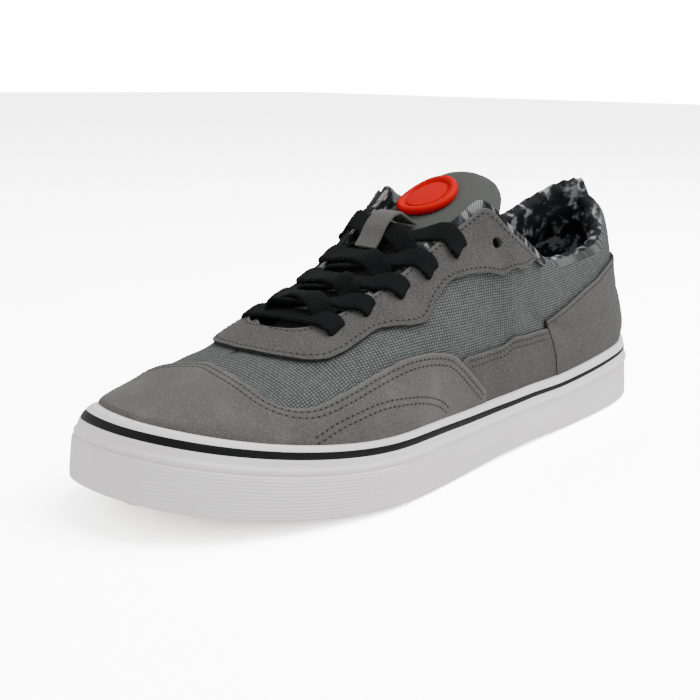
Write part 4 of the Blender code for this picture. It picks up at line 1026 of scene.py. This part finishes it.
def buildBinding(look):
    countV = look["steps"] * 2 + 1
    bm, u, v = gridMesh(look["rows"], countV)
    j = np.rint(v * countV).astype(int)
    at = look["start"] + (look["end"] - look["start"]) * (1 - np.abs(2 * u - 1))
    way = wayOf(at, u > 0.5)
    top = edgeUp(way)
    edgeBase, normal = formBase(way, top), formNormal(way, top)
    pad = last["wall"] + collarPad(alongOf(edgeBase[:, 1]))
    edgeOut, edgeIn = onLast(way, top), edgeBase - normal * pad[:, None]
    below = onLast(way, top - 0.02)
    downward = unit(below - edgeOut)
    middle, half = (edgeOut + edgeIn) / 2, (edgeOut - edgeIn) / 2
    size = np.linalg.norm(half, axis=1)
    rise = -downward * size[:, None]
    # the tape's outer face goes from below the edge up over the roll, then its under face comes back
    onFace = j <= look["steps"]
    s = np.where(onFace, j / look["steps"], (countV - j) / look["steps"])
    taper = smoothStep(at, look["start"], look["start"] + 0.03)
    reach = look["reach"] * (0.35 + 0.65 * taper)
    lift = np.where(onFace, look["lift"] * np.sin(np.clip(s, 0.0, 1.0) * math.pi) ** 0.35, -0.0002)
    straight = np.clip(1 - s * 2, 0, 1) * reach
    turn = np.clip(s * 2 - 1, 0, 1) * look["over"]
    outward = half / size[:, None] * np.cos(turn)[:, None] + unit(rise) * np.sin(turn)[:, None]
    points = (middle + half * np.cos(turn)[:, None] + rise * np.sin(turn)[:, None]
              + downward * straight[:, None] + outward * lift[:, None])
    order = np.argsort(u, kind="stable")
    run = lengthAlong(onLast(way[order], top[order]))[np.argsort(order)]
    shapeMesh(bm, points, np.stack([run, s * look["reach"] * 2], -1))
    addPiece("throatBinding", bm, [camoTape], weld=1e-5)


buildBinding(bindingLook)
print("binding built")

# Tongue

tongueLook = dict(thick=0.0070, edge=0.0018, rows=120, around=56, seam=0.0060, seamDepth=0.0005, tipLength=0.0045,
                  gap=0.0010, blend=0.0006)
tongueSeamRows = [(0.0, 0.0), (0.012, 0.55), (0.03, 1.0), (0.2, 1.0), (1.0, 1.0)]  # how deep the seam is along it
tongueRows = [  # along, crown over the rim, half width, sag of the edges, thickness
    (0.3880, 1.185, 0.054, 0.10, 0.60), (0.3920, 1.180, 0.115, 0.18, 0.80), (0.4020, 1.170, 0.174, 0.25, 0.95),
    (0.4180, 1.135, 0.220, 0.29, 1.00), (0.4400, 1.085, 0.250, 0.31, 1.00), (0.4670, 1.020, 0.262, 0.31, 0.95),
    (0.5000, 0.935, 0.268, 0.30, 0.90), (0.5350, 0.845, 0.262, 0.30, 0.80), (0.5700, 0.755, 0.255, 0.30, 0.70),
    (0.6100, 0.655, 0.245, 0.30, 0.60), (0.6500, 0.565, 0.230, 0.30, 0.50), (0.6900, 0.475, 0.210, 0.30, 0.45),
    (0.7300, 0.385, 0.180, 0.30, 0.40), (0.7600, 0.310, 0.150, 0.30, 0.35),
]


def formHeight(along, x):
    # height of the last under a place, found by halving
    centre = ridge(along)
    way = wayOf(along, x < centre)
    low, high = np.full(np.shape(x), 0.05), np.full(np.shape(x), 0.999)
    for _ in range(20):
        middle = (low + high) / 2
        wide = np.abs(formBase(way, middle)[..., 0] - centre) > np.abs(x - centre)
        low, high = np.where(wide, middle, low), np.where(wide, high, middle)
    return formBase(way, low)[..., 2]


def tongueHeight(along, x):
    # the lower of the tongue's own arch and the underside of the upper, blended
    across = (x - ridge(along)) / last["ballWidth"]
    half = readRows(tongueRows, along, 2)
    own = datum(along) + last["instepRise"] * readRows(tongueRows, along, 1)
    own = own - readRows(tongueRows, along, 3) * half * last["ballWidth"] * (across / half) ** 2
    gap = last["wall"] + tongueLook["gap"]
    slope = (formHeight(along, x + 1e-3) - formHeight(along, x - 1e-3)) / 2e-3
    under = formHeight(along, x) - gap * np.hypot(1, slope)
    blend = tongueLook["blend"]
    least = np.minimum(own, under)
    return least - blend * np.log(np.exp((least - own) / blend) + np.exp((least - under) / blend))


def onTongue(x, y, lift):
    x, y = np.broadcast_arrays(np.asarray(x, float), np.asarray(y, float))
    step, along = 1e-3, alongOf(y)
    shift = step / last["length"]
    slopeX = (tongueHeight(along, x + step) - tongueHeight(along, x - step)) / (2 * step)
    slopeY = (tongueHeight(along - shift, x) - tongueHeight(along + shift, x)) / (2 * step)
    normal = unit(np.stack([-slopeX, -slopeY, np.ones_like(slopeX)], -1))
    base = np.stack([x, y, tongueHeight(along, x)], -1)
    return base + normal * np.asarray(lift, float)[..., None]


def buildTongue(look):
    bm, u, v = gridMesh(look["rows"], look["around"])
    start, end = tongueRows[0][0], tongueRows[-1][0]
    along = start + (end - start) * u ** 1.6
    half = readRows(tongueRows, along, 2) * last["ballWidth"]
    thick = readRows(tongueRows, along, 4) * look["thick"]
    nearTop = (along - start) * last["length"]
    tip = np.sqrt(np.clip(1 - (1 - np.clip(nearTop / look["tipLength"], 0, 1)) ** 2, 0, 1))
    turn = v * 2 * math.pi
    c, s = np.cos(turn), np.sin(turn)
    x = ridge(along) + half * np.sign(c) * np.abs(c) ** 0.86
    puff = np.abs(s) ** 0.62
    padded = look["edge"] + (thick - look["edge"]) * puff
    drop = (thick - padded) * 0.30
    level = np.where(s >= 0, -drop, -drop - padded)
    middle = -drop - padded / 2
    level = middle + (level - middle) * np.where(np.abs(s) < 1e-6, 0.0, 1.0) * np.maximum(tip, 0.02)
    fromSeam = half - np.abs(x - ridge(along)) - look["seam"]
    seam = look["seamDepth"] * np.exp(-(fromSeam / 0.0012) ** 2) * smoothStep(s, 0.0, 0.2)
    points = onTongue(x, placeY(along), level - seam * readRows(tongueSeamRows, u, 1))
    shapeMesh(bm, points, np.stack([x, along * last["length"]], -1))
    for face in bm.faces:
        if min(v[vert.index] for vert in face.verts) >= 0.5 - 1e-6:
            face.material_index = 1  # the lining's side
    closeEnds(bm, 2e-5)
    return addPiece("paddedTongue", bm, [tongueCanvas, camoLining], ["tongue"], weld=1e-5)


paddedTongue = buildTongue(tongueLook)
print("tongue built")

# Badge: plain moulded disc with a raised rim and a groove

badgeLook = dict(along=0.4600, squash=0.9, base=0.0006, profile=[
    (0.0000, 0.00170), (0.0072, 0.00170), (0.0079, 0.00160), (0.0082, 0.00090), (0.0091, 0.00090),
    (0.0094, 0.00190), (0.0098, 0.00245), (0.0106, 0.00265), (0.0115, 0.00250), (0.0121, 0.00180),
    (0.01225, 0.0004), (0.01215, 0.0), (0.0, 0.0)])


def buildBadge(look):
    bm = bmesh.new()
    verts = [bm.verts.new((radius, 0.0, height)) for radius, height in look["profile"]]
    edges = [bm.edges.new(pair) for pair in zip(verts, verts[1:])]
    bmesh.ops.spin(bm, geom=verts + edges, axis=(0, 0, 1), cent=(0, 0, 0), steps=72, angle=2 * math.pi, use_merge=True)
    bmesh.ops.remove_doubles(bm, verts=bm.verts, dist=1e-5)
    rough = np.array([vert.co for vert in bm.verts])
    points = onTongue(rough[:, 0], placeY(look["along"]) + rough[:, 1] * look["squash"], look["base"] + rough[:, 2])
    for vert, point in zip(bm.verts, points):
        vert.co = point
    addPiece("tongueBadge", bm, [badgeRubber], ["tongue_badge"], weld=1e-6, sharp=50)


buildBadge(badgeLook)

# Laces: a straight bar at the toe end, then four crossings. Each strand comes out from under one
# eyestay, goes over the tongue and dives into the next eyelet of the other side

strandLook = dict(width=0.0086, thick=0.0023, holeWidth=0.0066, holeThick=0.0030, clear=0.00025, over=0.0014,
                  holeRise=0.0014, holeClear=0.0030, sink=0.0060, hidden=0.22, tuckIn=0.0035,
                  tuckDepths=(0.0040, 0.0042), bow=0.0012, barBow=0.0006, steps=150, around=28, squareness=2.9)


def topHeight(trees, x, y):
    # the highest surface under a place
    hits = [tree.ray_cast(Vector((x, y, 1.0)), Vector((0, 0, -1)))[0] for tree in trees]
    return max((hit.z for hit in hits if hit), default=0.0)


def taut(shares, heights):
    # a cord pulled tight over what lies beneath
    hull = []
    for point in zip(shares, heights):
        while len(hull) > 1 and (hull[-1][1] - hull[-2][1]) * (point[0] - hull[-2][0]) <= (
                point[1] - hull[-2][1]) * (hull[-1][0] - hull[-2][0]):
            hull.pop()
        hull.append(point)
    return np.interp(shares, [h[0] for h in hull], [h[1] for h in hull])


def sweepMesh(centre, across, normal, width, thick, around, squareness):
    # a soft flat cord: rounded section carried along a path, with length and girth as cloth coordinates
    count = len(centre) - 1
    bm, u, v = gridMesh(count, around)
    i = np.rint(u * count).astype(int)
    turn = v * 2 * math.pi
    c, s = np.cos(turn), np.sin(turn)
    a = np.sign(c) * np.abs(c) ** (2 / squareness) * width[i] / 2
    b = np.sign(s) * np.abs(s) ** (2 / squareness) * thick[i] / 2
    points = centre[i] + across[i] * a[:, None] + normal[i] * b[:, None]
    cloth = np.stack([lengthAlong(centre)[i], a / np.maximum(width[i], 1e-6) * width.max()], -1)
    shapeMesh(bm, points, cloth)
    closeEnds(bm, 1e-6)
    return bm


def frames(centre, hint):
    # directions across and square to a path, carried along it without twisting, from its middle
    tangent = unit(np.gradient(centre, axis=0))
    count = len(centre)
    middle = count // 2
    normal = np.zeros_like(centre)
    start = hint - tangent[middle] * (hint @ tangent[middle])
    normal[middle] = start / np.linalg.norm(start)
    for order in (range(middle + 1, count), range(middle - 1, -1, -1)):
        previous = normal[middle]
        for k in order:
            value = previous - tangent[k] * (previous @ tangent[k])
            previous = normal[k] = value / np.linalg.norm(value)
    return np.cross(tangent, normal), normal


def strandEnd(spot, dive, inward, look):
    # points that take a strand down its hole, or tuck it under the eyestay
    centre, normal = np.array(spot[0]), np.array(spot[1])
    if dive:
        beyond = centre - inward * look["over"] + normal * look["holeRise"]
        return [beyond, centre - normal * look["sink"] * 0.5, centre - normal * look["sink"]]
    first, second = look["tuckDepths"]
    return [centre + inward * look["tuckIn"] - normal * first, centre - normal * second]


def clearOf(points, spot, dive, look):
    # leaves room at a hole for the bend into it
    away = np.linalg.norm(points - np.array(spot[0]), axis=1)
    return points[away > look["holeClear"]] if dive else points


def strand(name, trees, start, end, look, dives, bow):
    # start and end are eyelet spots; dives says which ends go down into their eyelet
    first, second = np.array(start[0]), np.array(end[0])
    span = second - first
    flat = span[:2] / np.linalg.norm(span[:2])
    square = np.array([-flat[1], flat[0]])
    cut = [0.0 if dive else look["hidden"] for dive in dives]
    lane = look["width"] * 0.92
    shares = np.linspace(cut[0], 1 - cut[1], 41)
    spots = first[:2] + np.outer(shares, span[:2]) + np.outer(np.sin(shares * math.pi) * bow, square)
    lines = []
    for offset in (-0.5, -0.25, 0.0, 0.25, 0.5):
        row = spots + square * offset * lane
        lines.append(taut(shares, [topHeight(trees, *spot) for spot in row]))
    left, right = lines[0], lines[-1]
    bulge = np.max([line - (left + (right - left) * k / 4) for k, line in enumerate(lines)], axis=0)
    height = (left + right) / 2 + np.maximum(bulge, 0) + look["thick"] / 2 + look["clear"]
    tilt = (right - left) / lane
    inward = np.array([flat[0], flat[1], 0.0])
    path = np.column_stack([spots, height])
    path = clearOf(clearOf(path, start, dives[0], look), end, dives[1], look)
    head = strandEnd(start, dives[0], inward, look)[::-1]
    tail = strandEnd(end, dives[1], -inward, look)
    path = np.vstack([head, path, tail])
    path = blurred(evenly(path, lengthAlong(path)[-1] / look["steps"]), 2.4)
    path = evenly(path, lengthAlong(path)[-1] / look["steps"])
    run = lengthAlong(path)
    # the flat side follows the slope of what lies beneath, and of the eyestay at a hole
    place = ((path[:, :2] - first[:2]) @ flat) / np.linalg.norm(span[:2])
    lean = np.interp(place, shares, blurred(tilt[:, None], 3)[:, 0])
    for spot, dive, off in ((start, dives[0], place), (end, dives[1], 1 - place)):
        slope = -(np.array(spot[1])[:2] @ square) / spot[1][2]
        lean = lean + (slope - lean) * (1 - smoothStep(off, 0.05, 0.28)) * dive
    tangent = unit(np.gradient(path, axis=0))
    across = np.column_stack([np.tile(square, (len(path), 1)), lean])
    across = unit(across - tangent * np.sum(across * tangent, axis=1, keepdims=True))
    normal = np.cross(across, tangent)
    narrow = np.zeros(len(run))
    for dive, distance in ((dives[0], run), (dives[1], run[-1] - run)):
        amount = 1 - smoothStep(distance, 0.0056, 0.0100) if dive else 0.35 * (1 - smoothStep(distance, 0.0, 0.006))
        narrow = np.maximum(narrow, amount)
    width = look["width"] + (look["holeWidth"] - look["width"]) * narrow
    thick = look["thick"] + (look["holeThick"] - look["thick"]) * narrow
    wobble = 1 + 0.025 * np.sin(run * 700 + len(name)) + 0.02 * np.sin(run * 1700)
    return sweepMesh(path, across, normal, width * wobble, thick * (2 - wobble), look["around"], look["squareness"])


def buildLaces(look):
    trees = surfaceOf([upperCloth, eyestay, paddedTongue])
    bm = strand("laceBar", trees, eyelets[0], eyelets[1], look, (True, True), look["barBow"])
    pieces = [addPiece("laceBar", bm, [laceCloth], ["lace_bar"], weld=1e-6)]
    for pair in range(4):
        for label, low, high, bow in (("Outer", 1, 2, -look["bow"]), ("Inner", 0, 3, look["bow"])):
            name, under = f"lace{label}{pair + 1}", trees + surfaceOf(pieces[-2:])
            first, second = eyelets[2 * pair + low], eyelets[2 * pair + high]
            bm = strand(name, under, first, second, look, (False, True), bow)
            node = f"lace_cross_{pair + 1}"
            pieces.append(addPiece(name, bm, [laceCloth], [node], weld=1e-6))
    return pieces


laces = buildLaces(strandLook)
print("laces built")

# Suede keeper on the tongue, over the last crossing

loopLook = dict(along=0.548, width=0.0112, length=0.0220, thick=0.0013, rise=0.0024, skew=0.0020, clear=0.0003,
                around=28, squareness=7.0)


def buildLoop(look):
    trees = surfaceOf([paddedTongue] + laces)
    x, y = float(ridge(look["along"])), placeY(look["along"])
    shares = np.linspace(0, 1, 61)
    spots = np.stack([x + look["skew"] * (shares - 0.5), y + look["length"] * (shares - 0.5)], -1)
    lines = [taut(shares, [topHeight(trees, sx + offset * look["width"], sy) for sx, sy in spots])
             for offset in (-0.45, 0.0, 0.45)]
    arch = look["rise"] * np.sin(shares * math.pi) ** 1.5
    height = np.max(lines, axis=0) + look["thick"] / 2 + look["clear"] + arch
    path = blurred(np.column_stack([spots, height]), 1.6)
    across, normal = frames(path, np.array([0.0, 0.0, 1.0]))
    width, thick = np.full(len(path), look["width"]), np.full(len(path), look["thick"])
    bm = sweepMesh(path, across, normal, width, thick, look["around"], look["squareness"])
    addPiece("tongueLoop", bm, [suede], ["tongue_loop"], weld=1e-6, sharp=45)


buildLoop(loopLook)
print("loop built")

# Rubber: side band, stripe, ribbed bumper, outsole

soleLook = dict(stations=520, lift=0.0006, stripeDepth=0.0006, tuckPower=6, ribs=13, ribDepth=0.00022,
                bumperThick=0.0008, bumperLow=0.022, bumperHigh=0.612, bumperEnd=0.683, cornerRound=0.0075)
bandProfile = [  # height share, inset as a share of the flare
    (0.000, 0.30), (0.012, 0.06), (0.035, 0.00), (0.160, 0.08), (0.300, 0.19), (0.460, 0.32), (0.605, 0.44),
    (0.618, 0.44), (0.630, 0.36), (0.640, 0.24), (0.652, 0.19), (0.672, 0.19), (0.688, 0.23), (0.700, 0.34),
    (0.712, 0.48), (0.728, 0.56), (0.760, 0.58), (0.792, 0.60), (0.800, 0.66),
]
bandTop = [(0.890, 0.80), (0.898, 0.74), (0.925, 0.80), (0.965, 0.90), (0.985, 0.97), (0.996, 1.12), (1.000, 1.40)]


def crowded(ways):
    # ways moved towards the toe and the heel, where the outline turns
    return ways - 0.30 * np.sin(4 * math.pi * ways) / (4 * math.pi)


def ringPiece(name, ways, loop, finish, nodes, sharp=38):
    # loop(way) gives closed rows of inset and height for every way
    insets, heights = loop(ways)
    rows, columns = insets.shape
    bm, u, v = gridMesh(rows - 1, columns - 1)
    i, j = np.rint(u * (rows - 1)).astype(int), np.rint(v * (columns - 1)).astype(int)
    flat = insetPoint(ways[i], insets[i, j])
    points = np.column_stack([flat, heights[i, j]])
    cloth = np.stack([outlineLength(ways)[i], heights[i, j]], -1)
    shapeMesh(bm, points, cloth)
    closeEnds(bm, 1e-6)
    addPiece(name, bm, [finish], nodes, weld=1e-6, sharp=sharp)


def wallBase(way):
    # foot and height of the rubber wall
    along = outlineAt(way)[:, 0]
    base = ground(along) + soleLook["lift"]
    return base, rim(along) - base


def bandLevels(along, levels):
    # heights near the stripe follow its edges: broad at the toe, fine at the heel
    low = 0.825 - 0.022 * smoothStep(along, 0.10, 0.30) * (1 - smoothStep(along, 0.45, 0.68))
    high = 0.876 + 0.052 * smoothStep(along, 0.25, 0.70)
    return np.array([np.interp(levels, (0.0, 0.70, 0.80, 0.89, 1.0), (0.0, 0.70, first, second, 1.0))
                     for first, second in zip(low, high)])


def onWall(ways, insets, levels):
    # insets and heights of rows on the rubber, which leans back round the toe
    base, height = wallBase(ways)
    tuck = toeTuck(ways)[:, None] * np.clip(levels, 0, 1) ** soleLook["tuckPower"]
    return insets + tuck, base[:, None] + height[:, None] * levels


def bandLoop(ways):
    # the wall with a groove for the stripe
    groove = [(0.800, 0.66), (0.890, 0.80)]
    shares, flares = np.array(bandProfile + groove + bandTop).T
    insets = inset["wall"] + inset["flare"] * flares
    insets[len(bandProfile):len(bandProfile) + 2] += soleLook["stripeDepth"] + 0.0003
    insets = np.concatenate([insets, [inset["upper"] - 0.0003] * 2, insets[:1]])
    levels = bandLevels(outlineAt(ways)[:, 0], np.concatenate([shares, [1.0, 0.0], shares[:1]]))
    return onWall(ways, insets, levels)


def stripeLoop(ways):
    outer = inset["wall"] + inset["flare"] * np.array([0.66, 0.62, 0.66, 0.74, 0.80])
    insets = np.concatenate([outer, [outer[-1] + 0.0008, outer[0] + 0.0008], outer[:1]])
    levels = bandLevels(outlineAt(ways)[:, 0], [0.801, 0.812, 0.845, 0.878, 0.889, 0.889, 0.801, 0.801])
    return onWall(ways, insets, levels)


def bumperLoop(ways):
    # fine level ribs that fade out at both ends under a rounded corner
    look = soleLook
    run = outlineLength(ways)
    off = np.minimum(run, run[-1] - run)
    radius = look["cornerRound"]
    corner = radius - np.sqrt(np.maximum(radius * radius - np.maximum(radius - off, 0) ** 2, 0))
    top = look["bumperHigh"] - corner / wallBase(ways)[1]
    s = np.linspace(0, 1, look["ribs"] * 8 + 1)
    share = look["bumperLow"] + (top[:, None] - look["bumperLow"]) * s[None, :]
    phase = (share - look["bumperLow"]) / (look["bumperHigh"] - look["bumperLow"]) * look["ribs"]
    crest = (0.5 - 0.5 * np.cos(phase * 2 * math.pi)) ** 0.6
    wall = inset["wall"] + inset["flare"] * np.interp(share, *zip(*bandProfile[2:7]))
    lip = np.sqrt(np.clip(1 - (1 - np.clip((1 - s) * 12, 0, 1)) ** 2, 0, 1)) * np.sqrt(np.clip(s * 20, 0, 1))
    rise = look["bumperThick"] * np.clip(off / 0.0012, 0, 1)[:, None] * lip
    out = wall - rise - look["ribDepth"] * crest * smoothStep(off, 0.001, 0.010)[:, None] * lip
    back = wall[:, [-1, 0]] + 0.0006
    insets = np.concatenate([out, back, out[:, :1]], axis=1)
    levels = np.concatenate([share, share[:, [-1, 0]], share[:, :1]], axis=1)
    return onWall(ways, insets, levels)


bandWays = crowded(np.linspace(0.0, 1.0, soleLook["stations"] + 1))
bumperWays = np.linspace(float(wayOf(soleLook["bumperEnd"])), float(wayOf(soleLook["bumperEnd"], True)), 301)
ringPiece("sideBand", bandWays, bandLoop, whiteRubber, ["sidewall"])
ringPiece("bandStripe", bandWays, stripeLoop, blackRubber, ["stripe"])
ringPiece("toeBumper", bumperWays, bumperLoop, bumperRubber, ["toe_bumper"], sharp=60)
print("rubber built")

outsoleLook = dict(rows=150, across=22, high=0.0050, treadDepth=0.0013, pitch=0.0068, gap=0.0014, margin=0.02)
insoleLook = dict(rows=150, across=40, depth=0.0106, low=0.0122, high=0.0148, cup=0.0020)


def slabMesh(rows, across, depth, low, high, cup=0.0):
    # a layer of the sole, following the toe spring
    countV = 2 * across + 2
    bm, u, v = gridMesh(rows, countV)
    j = np.rint(v * countV).astype(int)
    way = crowded(0.5 * u)
    outer, inner = insetPoint(way, depth), insetPoint(1 - way, depth)
    onTop = (j > across) & (j <= 2 * across + 1)
    share = np.where(onTop, (2 * across + 1 - j) / across, np.minimum(j, across) / across)
    share = np.where(j == countV, 0.0, share)
    flat = inner + (outer - inner) * share[:, None]
    fromRim = np.minimum(share, 1 - share) * np.linalg.norm(outer - inner, axis=1)
    raised = cup * (1 - smoothStep(fromRim, 0.0, 0.012)) * onTop
    z = ground(alongOf(flat[:, 1])) + np.where(onTop, high, low) + raised
    shapeMesh(bm, np.column_stack([flat, z]), flat)
    return bm


def buildOutsole(look):
    # the slab above, small tapered blocks below it
    bm = slabMesh(look["rows"], look["across"], inset["upper"], look["treadDepth"], look["high"])
    bmesh.ops.remove_doubles(bm, verts=bm.verts, dist=1e-6)
    step, size = look["pitch"], look["pitch"] - look["gap"]
    for row in range(-24, 25):
        for column in range(-9, 10):
            x = (column + 0.5 * (row % 2)) * step
            y = row * step * 0.866
            along = float(alongOf(y))
            if not look["margin"] < along < 1 - look["margin"]:
                continue
            axis, half = outlineAt(wayOf(along))[..., 1:] * last["ballWidth"]
            if abs(x - axis) > half - inset["upper"] - size * 0.62:
                continue
            base = float(ground(along))
            slope = float(ground(along - 0.01) - ground(along + 0.01)) / (0.02 * last["length"])
            turn = Matrix.Translation((x, y, base + look["treadDepth"] * 0.5 + 0.0003)) @ Matrix.Rotation(
                math.atan(slope), 4, "X") @ Matrix.Rotation(math.pi / 6, 4, "Z")
            bmesh.ops.create_cone(bm, cap_ends=True, segments=6, radius1=size * 0.52, radius2=size * 0.58,
                                  depth=look["treadDepth"], matrix=turn)
    addPiece("outsoleTread", bm, [outsoleRubber], ["outsole"], weld=None, sharp=35)


buildOutsole(outsoleLook)
addPiece("insoleBed", slabMesh(**insoleLook), [insoleCloth], ["insole"], weld=1e-6, sharp=50)
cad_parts["midsole"].data.materials.clear()
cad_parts["midsole"].data.materials.append(midsoleFoam)
print("sole built")

# Seams: sunk thread between pinholes

# the pinholes and the discs behind the two empty eyelets are painted shade
seamLook = dict(pitch=0.0023, threadWidth=0.00030, threadLength=0.0013, hole=0.00034, first=0.0020, second=0.0043,
                arcGap=0.0023, throat=0.0017, capRidge=0.945, eyestayStop=0.318, shadeDiscRadius=0.0025, holeSink=0.0012)


def seamLine(tree, edge, inside, depth):
    # a line a given distance in from a panel's edge, laid on the panel
    tangent = unit(np.gradient(edge, axis=0))
    inward = inside - edge
    inward = unit(inward - tangent * np.sum(inward * tangent, axis=1, keepdims=True))
    return np.array([tree.find_nearest(Vector(point))[0] for point in edge + inward * depth])


# a flat disc of painted shade, put where a hole's hollow lies in shade
def shadeDisc(bm, radius, segments, place):
    made = bmesh.ops.create_circle(bm, cap_ends=True, segments=segments, radius=radius, matrix=place)
    for face in made["verts"][0].link_faces:
        face.material_index = 1


def addSeam(bm, tree, line, look):
    # threads lying along a line, with a pinhole drawn as a disc of painted shade at the start of each
    marks = evenly(line, look["pitch"], 0.0008)
    for first, second in zip(marks, marks[1:]):
        spot, normal = tree.find_nearest(Vector((first + second) / 2))[:2]
        run = Vector(second - first)
        if run.length < 1e-5 or spot is None:
            continue
        tangent = (run - normal * run.dot(normal)).normalized()
        side = normal.cross(tangent)
        turn = Matrix((tangent, side, normal)).transposed().to_4x4()
        thread = Matrix.Translation(spot) @ turn @ Matrix.Diagonal(
            (look["threadLength"] / 2, look["threadWidth"], look["threadWidth"] * 0.8, 1))
        bmesh.ops.create_uvsphere(bm, u_segments=6, v_segments=4, radius=1, matrix=thread)
        holeSpot, holeNormal = tree.find_nearest(Vector(first))[:2]
        across = holeNormal.cross(tangent).normalized()
        flat = Matrix((tangent, across, holeNormal)).transposed().to_4x4()
        hole = Matrix.Translation(holeSpot + holeNormal * 0.00004) @ flat @ Matrix.Diagonal((1.25, 1.0, 1, 1))
        shadeDisc(bm, look["hole"], 8, hole)


def edgePoints(spotOf, share, count, low=0.0, high=1.0, top=panelLook["top"]):
    # a line along a panel at a share of the way up it
    u = np.linspace(low, high, count)
    way, up = spotOf(u, np.full(count, share))
    return onLast(way, up, top)


def joined(spotOf, share, stop):
    # an edge that two halves of a panel share, without the stretch between them
    return np.vstack([edgePoints(spotOf, share, 500, 0.0, stop), edgePoints(spotOf, share, 500, 1 - stop, 1.0)])


def buildSeams(look):
    bm = bmesh.new()
    first, second = look["first"], look["second"]
    toeTree, counterTree, eyeTree = surfaceOf([toeCap, counter, eyestay])
    sideTrees = surfaceOf(sidePanels)
    # the cap's upper edge stops on the ridge, so the rows go up one side and down the other
    start = float(wayOf(toeCapRows[0][0]))
    stop = 0.5 - 0.5 * (0.5 - float(wayOf(look["capRidge"]))) / (0.5 - start)
    edge, inside = (joined(toeCapSpot, share, stop) for share in (1.0, 0.93))
    for depth in (first, second):
        addSeam(bm, toeTree, blurred(seamLine(toeTree, edge, inside, depth), 12), look)
    share, run = np.linspace(0, 1, 160), np.linspace(0, 1, len(arcRows))
    along, up = (np.interp(share, run, column) for column in zip(*arcRows))
    along, up = blurred(np.column_stack([along, up]), 7).T
    low = panelLook["lowerTop"]
    for inner, spotOf in ((False, outerSideSpot), (True, innerSideSpot)):
        edge, inside = (onLast(wayOf(along, inner), up - drop, panelLook["top"]) for drop in (0.0, 0.02))
        for depth in (0.0, look["arcGap"]):
            addSeam(bm, toeTree, seamLine(toeTree, edge, inside, depth), look)
        edge, inside = (edgePoints(spotOf, share, 200, 0.04, 0.92, low) for share in (1.0, 0.9))
        for depth in (first, second):
            addSeam(bm, sideTrees[inner], blurred(seamLine(sideTrees[inner], edge, inside, depth), 3), look)
    edge, inside = (edgePoints(counterSpot, share, 500) for share in (1.0, 0.95))
    addSeam(bm, counterTree, blurred(seamLine(counterTree, edge, inside, first), 4), look)
    edge, inside = (edgePoints(eyestaySpot, share, 900) for share in (0.0, 0.10))
    addSeam(bm, eyeTree, blurred(seamLine(eyeTree, edge, inside, first), 5), look)
    edge, inside = (joined(eyestaySpot, share, look["eyestayStop"]) for share in (1.0, 0.90))
    addSeam(bm, eyeTree, blurred(seamLine(eyeTree, edge, inside, look["throat"]), 6), look)
    # a disc of painted shade behind each of the two empty holes, standing for the tongue's side in shadow
    for centre, normal in eyelets[-2:]:
        shadeDisc(bm, look["shadeDiscRadius"], 24, facing(centre - normal * look["holeSink"], normal))
    addPiece("seams", bm, [threadGrey, holeShade], weld=None, outward=False)


buildSeams(seamLook)
print("seams sewn")

# Stage: white sweep, soft overhead light

stageLook = dict(floor=0.85, seenFloor=7.0, world=0.74, seenWorld=16.0, aim=(0.0, 0.0, 0.04), lights=[
    ("keyLight", 25.0, 1.2, (0.55, 0.35, 1.30)), ("fillLight", 4.0, 1.4, (-0.6, -1.2, 0.9))])  # watts, size, place
cameraLook = dict(azimuth=42.084, elevation=13.312, roll=0.922, lens=1172.70 / 700 * 36.0,
                  place=(0.29262, -0.35670, 0.14588))


def buildStage(look):
    bm = bmesh.new()
    bmesh.ops.create_grid(bm, x_segments=1, y_segments=1, size=6.0)
    floor = newObject("floor", meshFrom("floor", bm))
    # the camera sees the sweep brighter than the shoe does, as if it were lit on its own
    paint = Paint("paleFloor", Roughness=0.9, Base_Color=(look["floor"],) * 3 + (1,))
    seen = paint.node("ShaderNodeBsdfDiffuse", {}, {"Color": (look["seenFloor"],) * 3 + (1,)})
    matt = Tap(paint, paint.shader.outputs[0])
    shown = paint.node("ShaderNodeMixShader", {}, [paint.node("ShaderNodeLightPath"), matt, seen])
    paint.tree.links.new(shown.socket, paint.tree.nodes["Material Output"].inputs["Surface"])
    floor.data.materials.append(paint.material)
    world = bpy.data.worlds.new("studio")
    bpy.context.scene.world = world
    world.use_nodes = True
    nodes, links = world.node_tree.nodes, world.node_tree.links
    plain, seen = nodes["Background"], nodes.new("ShaderNodeBackground")
    for back, strength in ((plain, look["world"]), (seen, look["seenWorld"])):
        back.inputs["Color"].default_value = (1, 1, 1, 1)
        back.inputs["Strength"].default_value = strength
    mixed, path = nodes.new("ShaderNodeMixShader"), nodes.new("ShaderNodeLightPath")
    for source, target in ((path.outputs["Is Camera Ray"], 0), (plain.outputs[0], 1), (seen.outputs[0], 2)):
        links.new(source, mixed.inputs[target])
    links.new(mixed.outputs[0], nodes["World Output"].inputs["Surface"])
    for name, power, size, place in look["lights"]:
        light = bpy.data.lights.new(name, "AREA")
        light.energy, light.size = power, size
        lamp = newObject(name, light)
        lamp.location = place
        lamp.rotation_euler = (Vector(look["aim"]) - Vector(place)).to_track_quat("-Z", "Y").to_euler()


def buildCamera(look):
    azimuth, elevation, roll = (math.radians(look[key]) for key in ("azimuth", "elevation", "roll"))
    level = math.cos(elevation)
    back = Vector((math.sin(azimuth) * level, -math.cos(azimuth) * level, math.sin(elevation)))
    right = Vector((math.cos(azimuth), math.sin(azimuth), 0.0))
    above = back.cross(right)
    side = right * math.cos(roll) + above * math.sin(roll)
    top = above * math.cos(roll) - right * math.sin(roll)
    view = bpy.data.cameras.new("camera")
    view.sensor_width, view.sensor_fit = 36.0, "HORIZONTAL"
    view.lens = look["lens"]
    view.clip_start, view.clip_end = 0.01, 20.0
    camera = newObject("camera", view)
    turn = Matrix((side, top, back)).transposed().to_4x4()
    turn.translation = Vector(look["place"])
    camera.matrix_world = turn
    bpy.context.scene.camera = camera


buildStage(stageLook)
buildCamera(cameraLook)
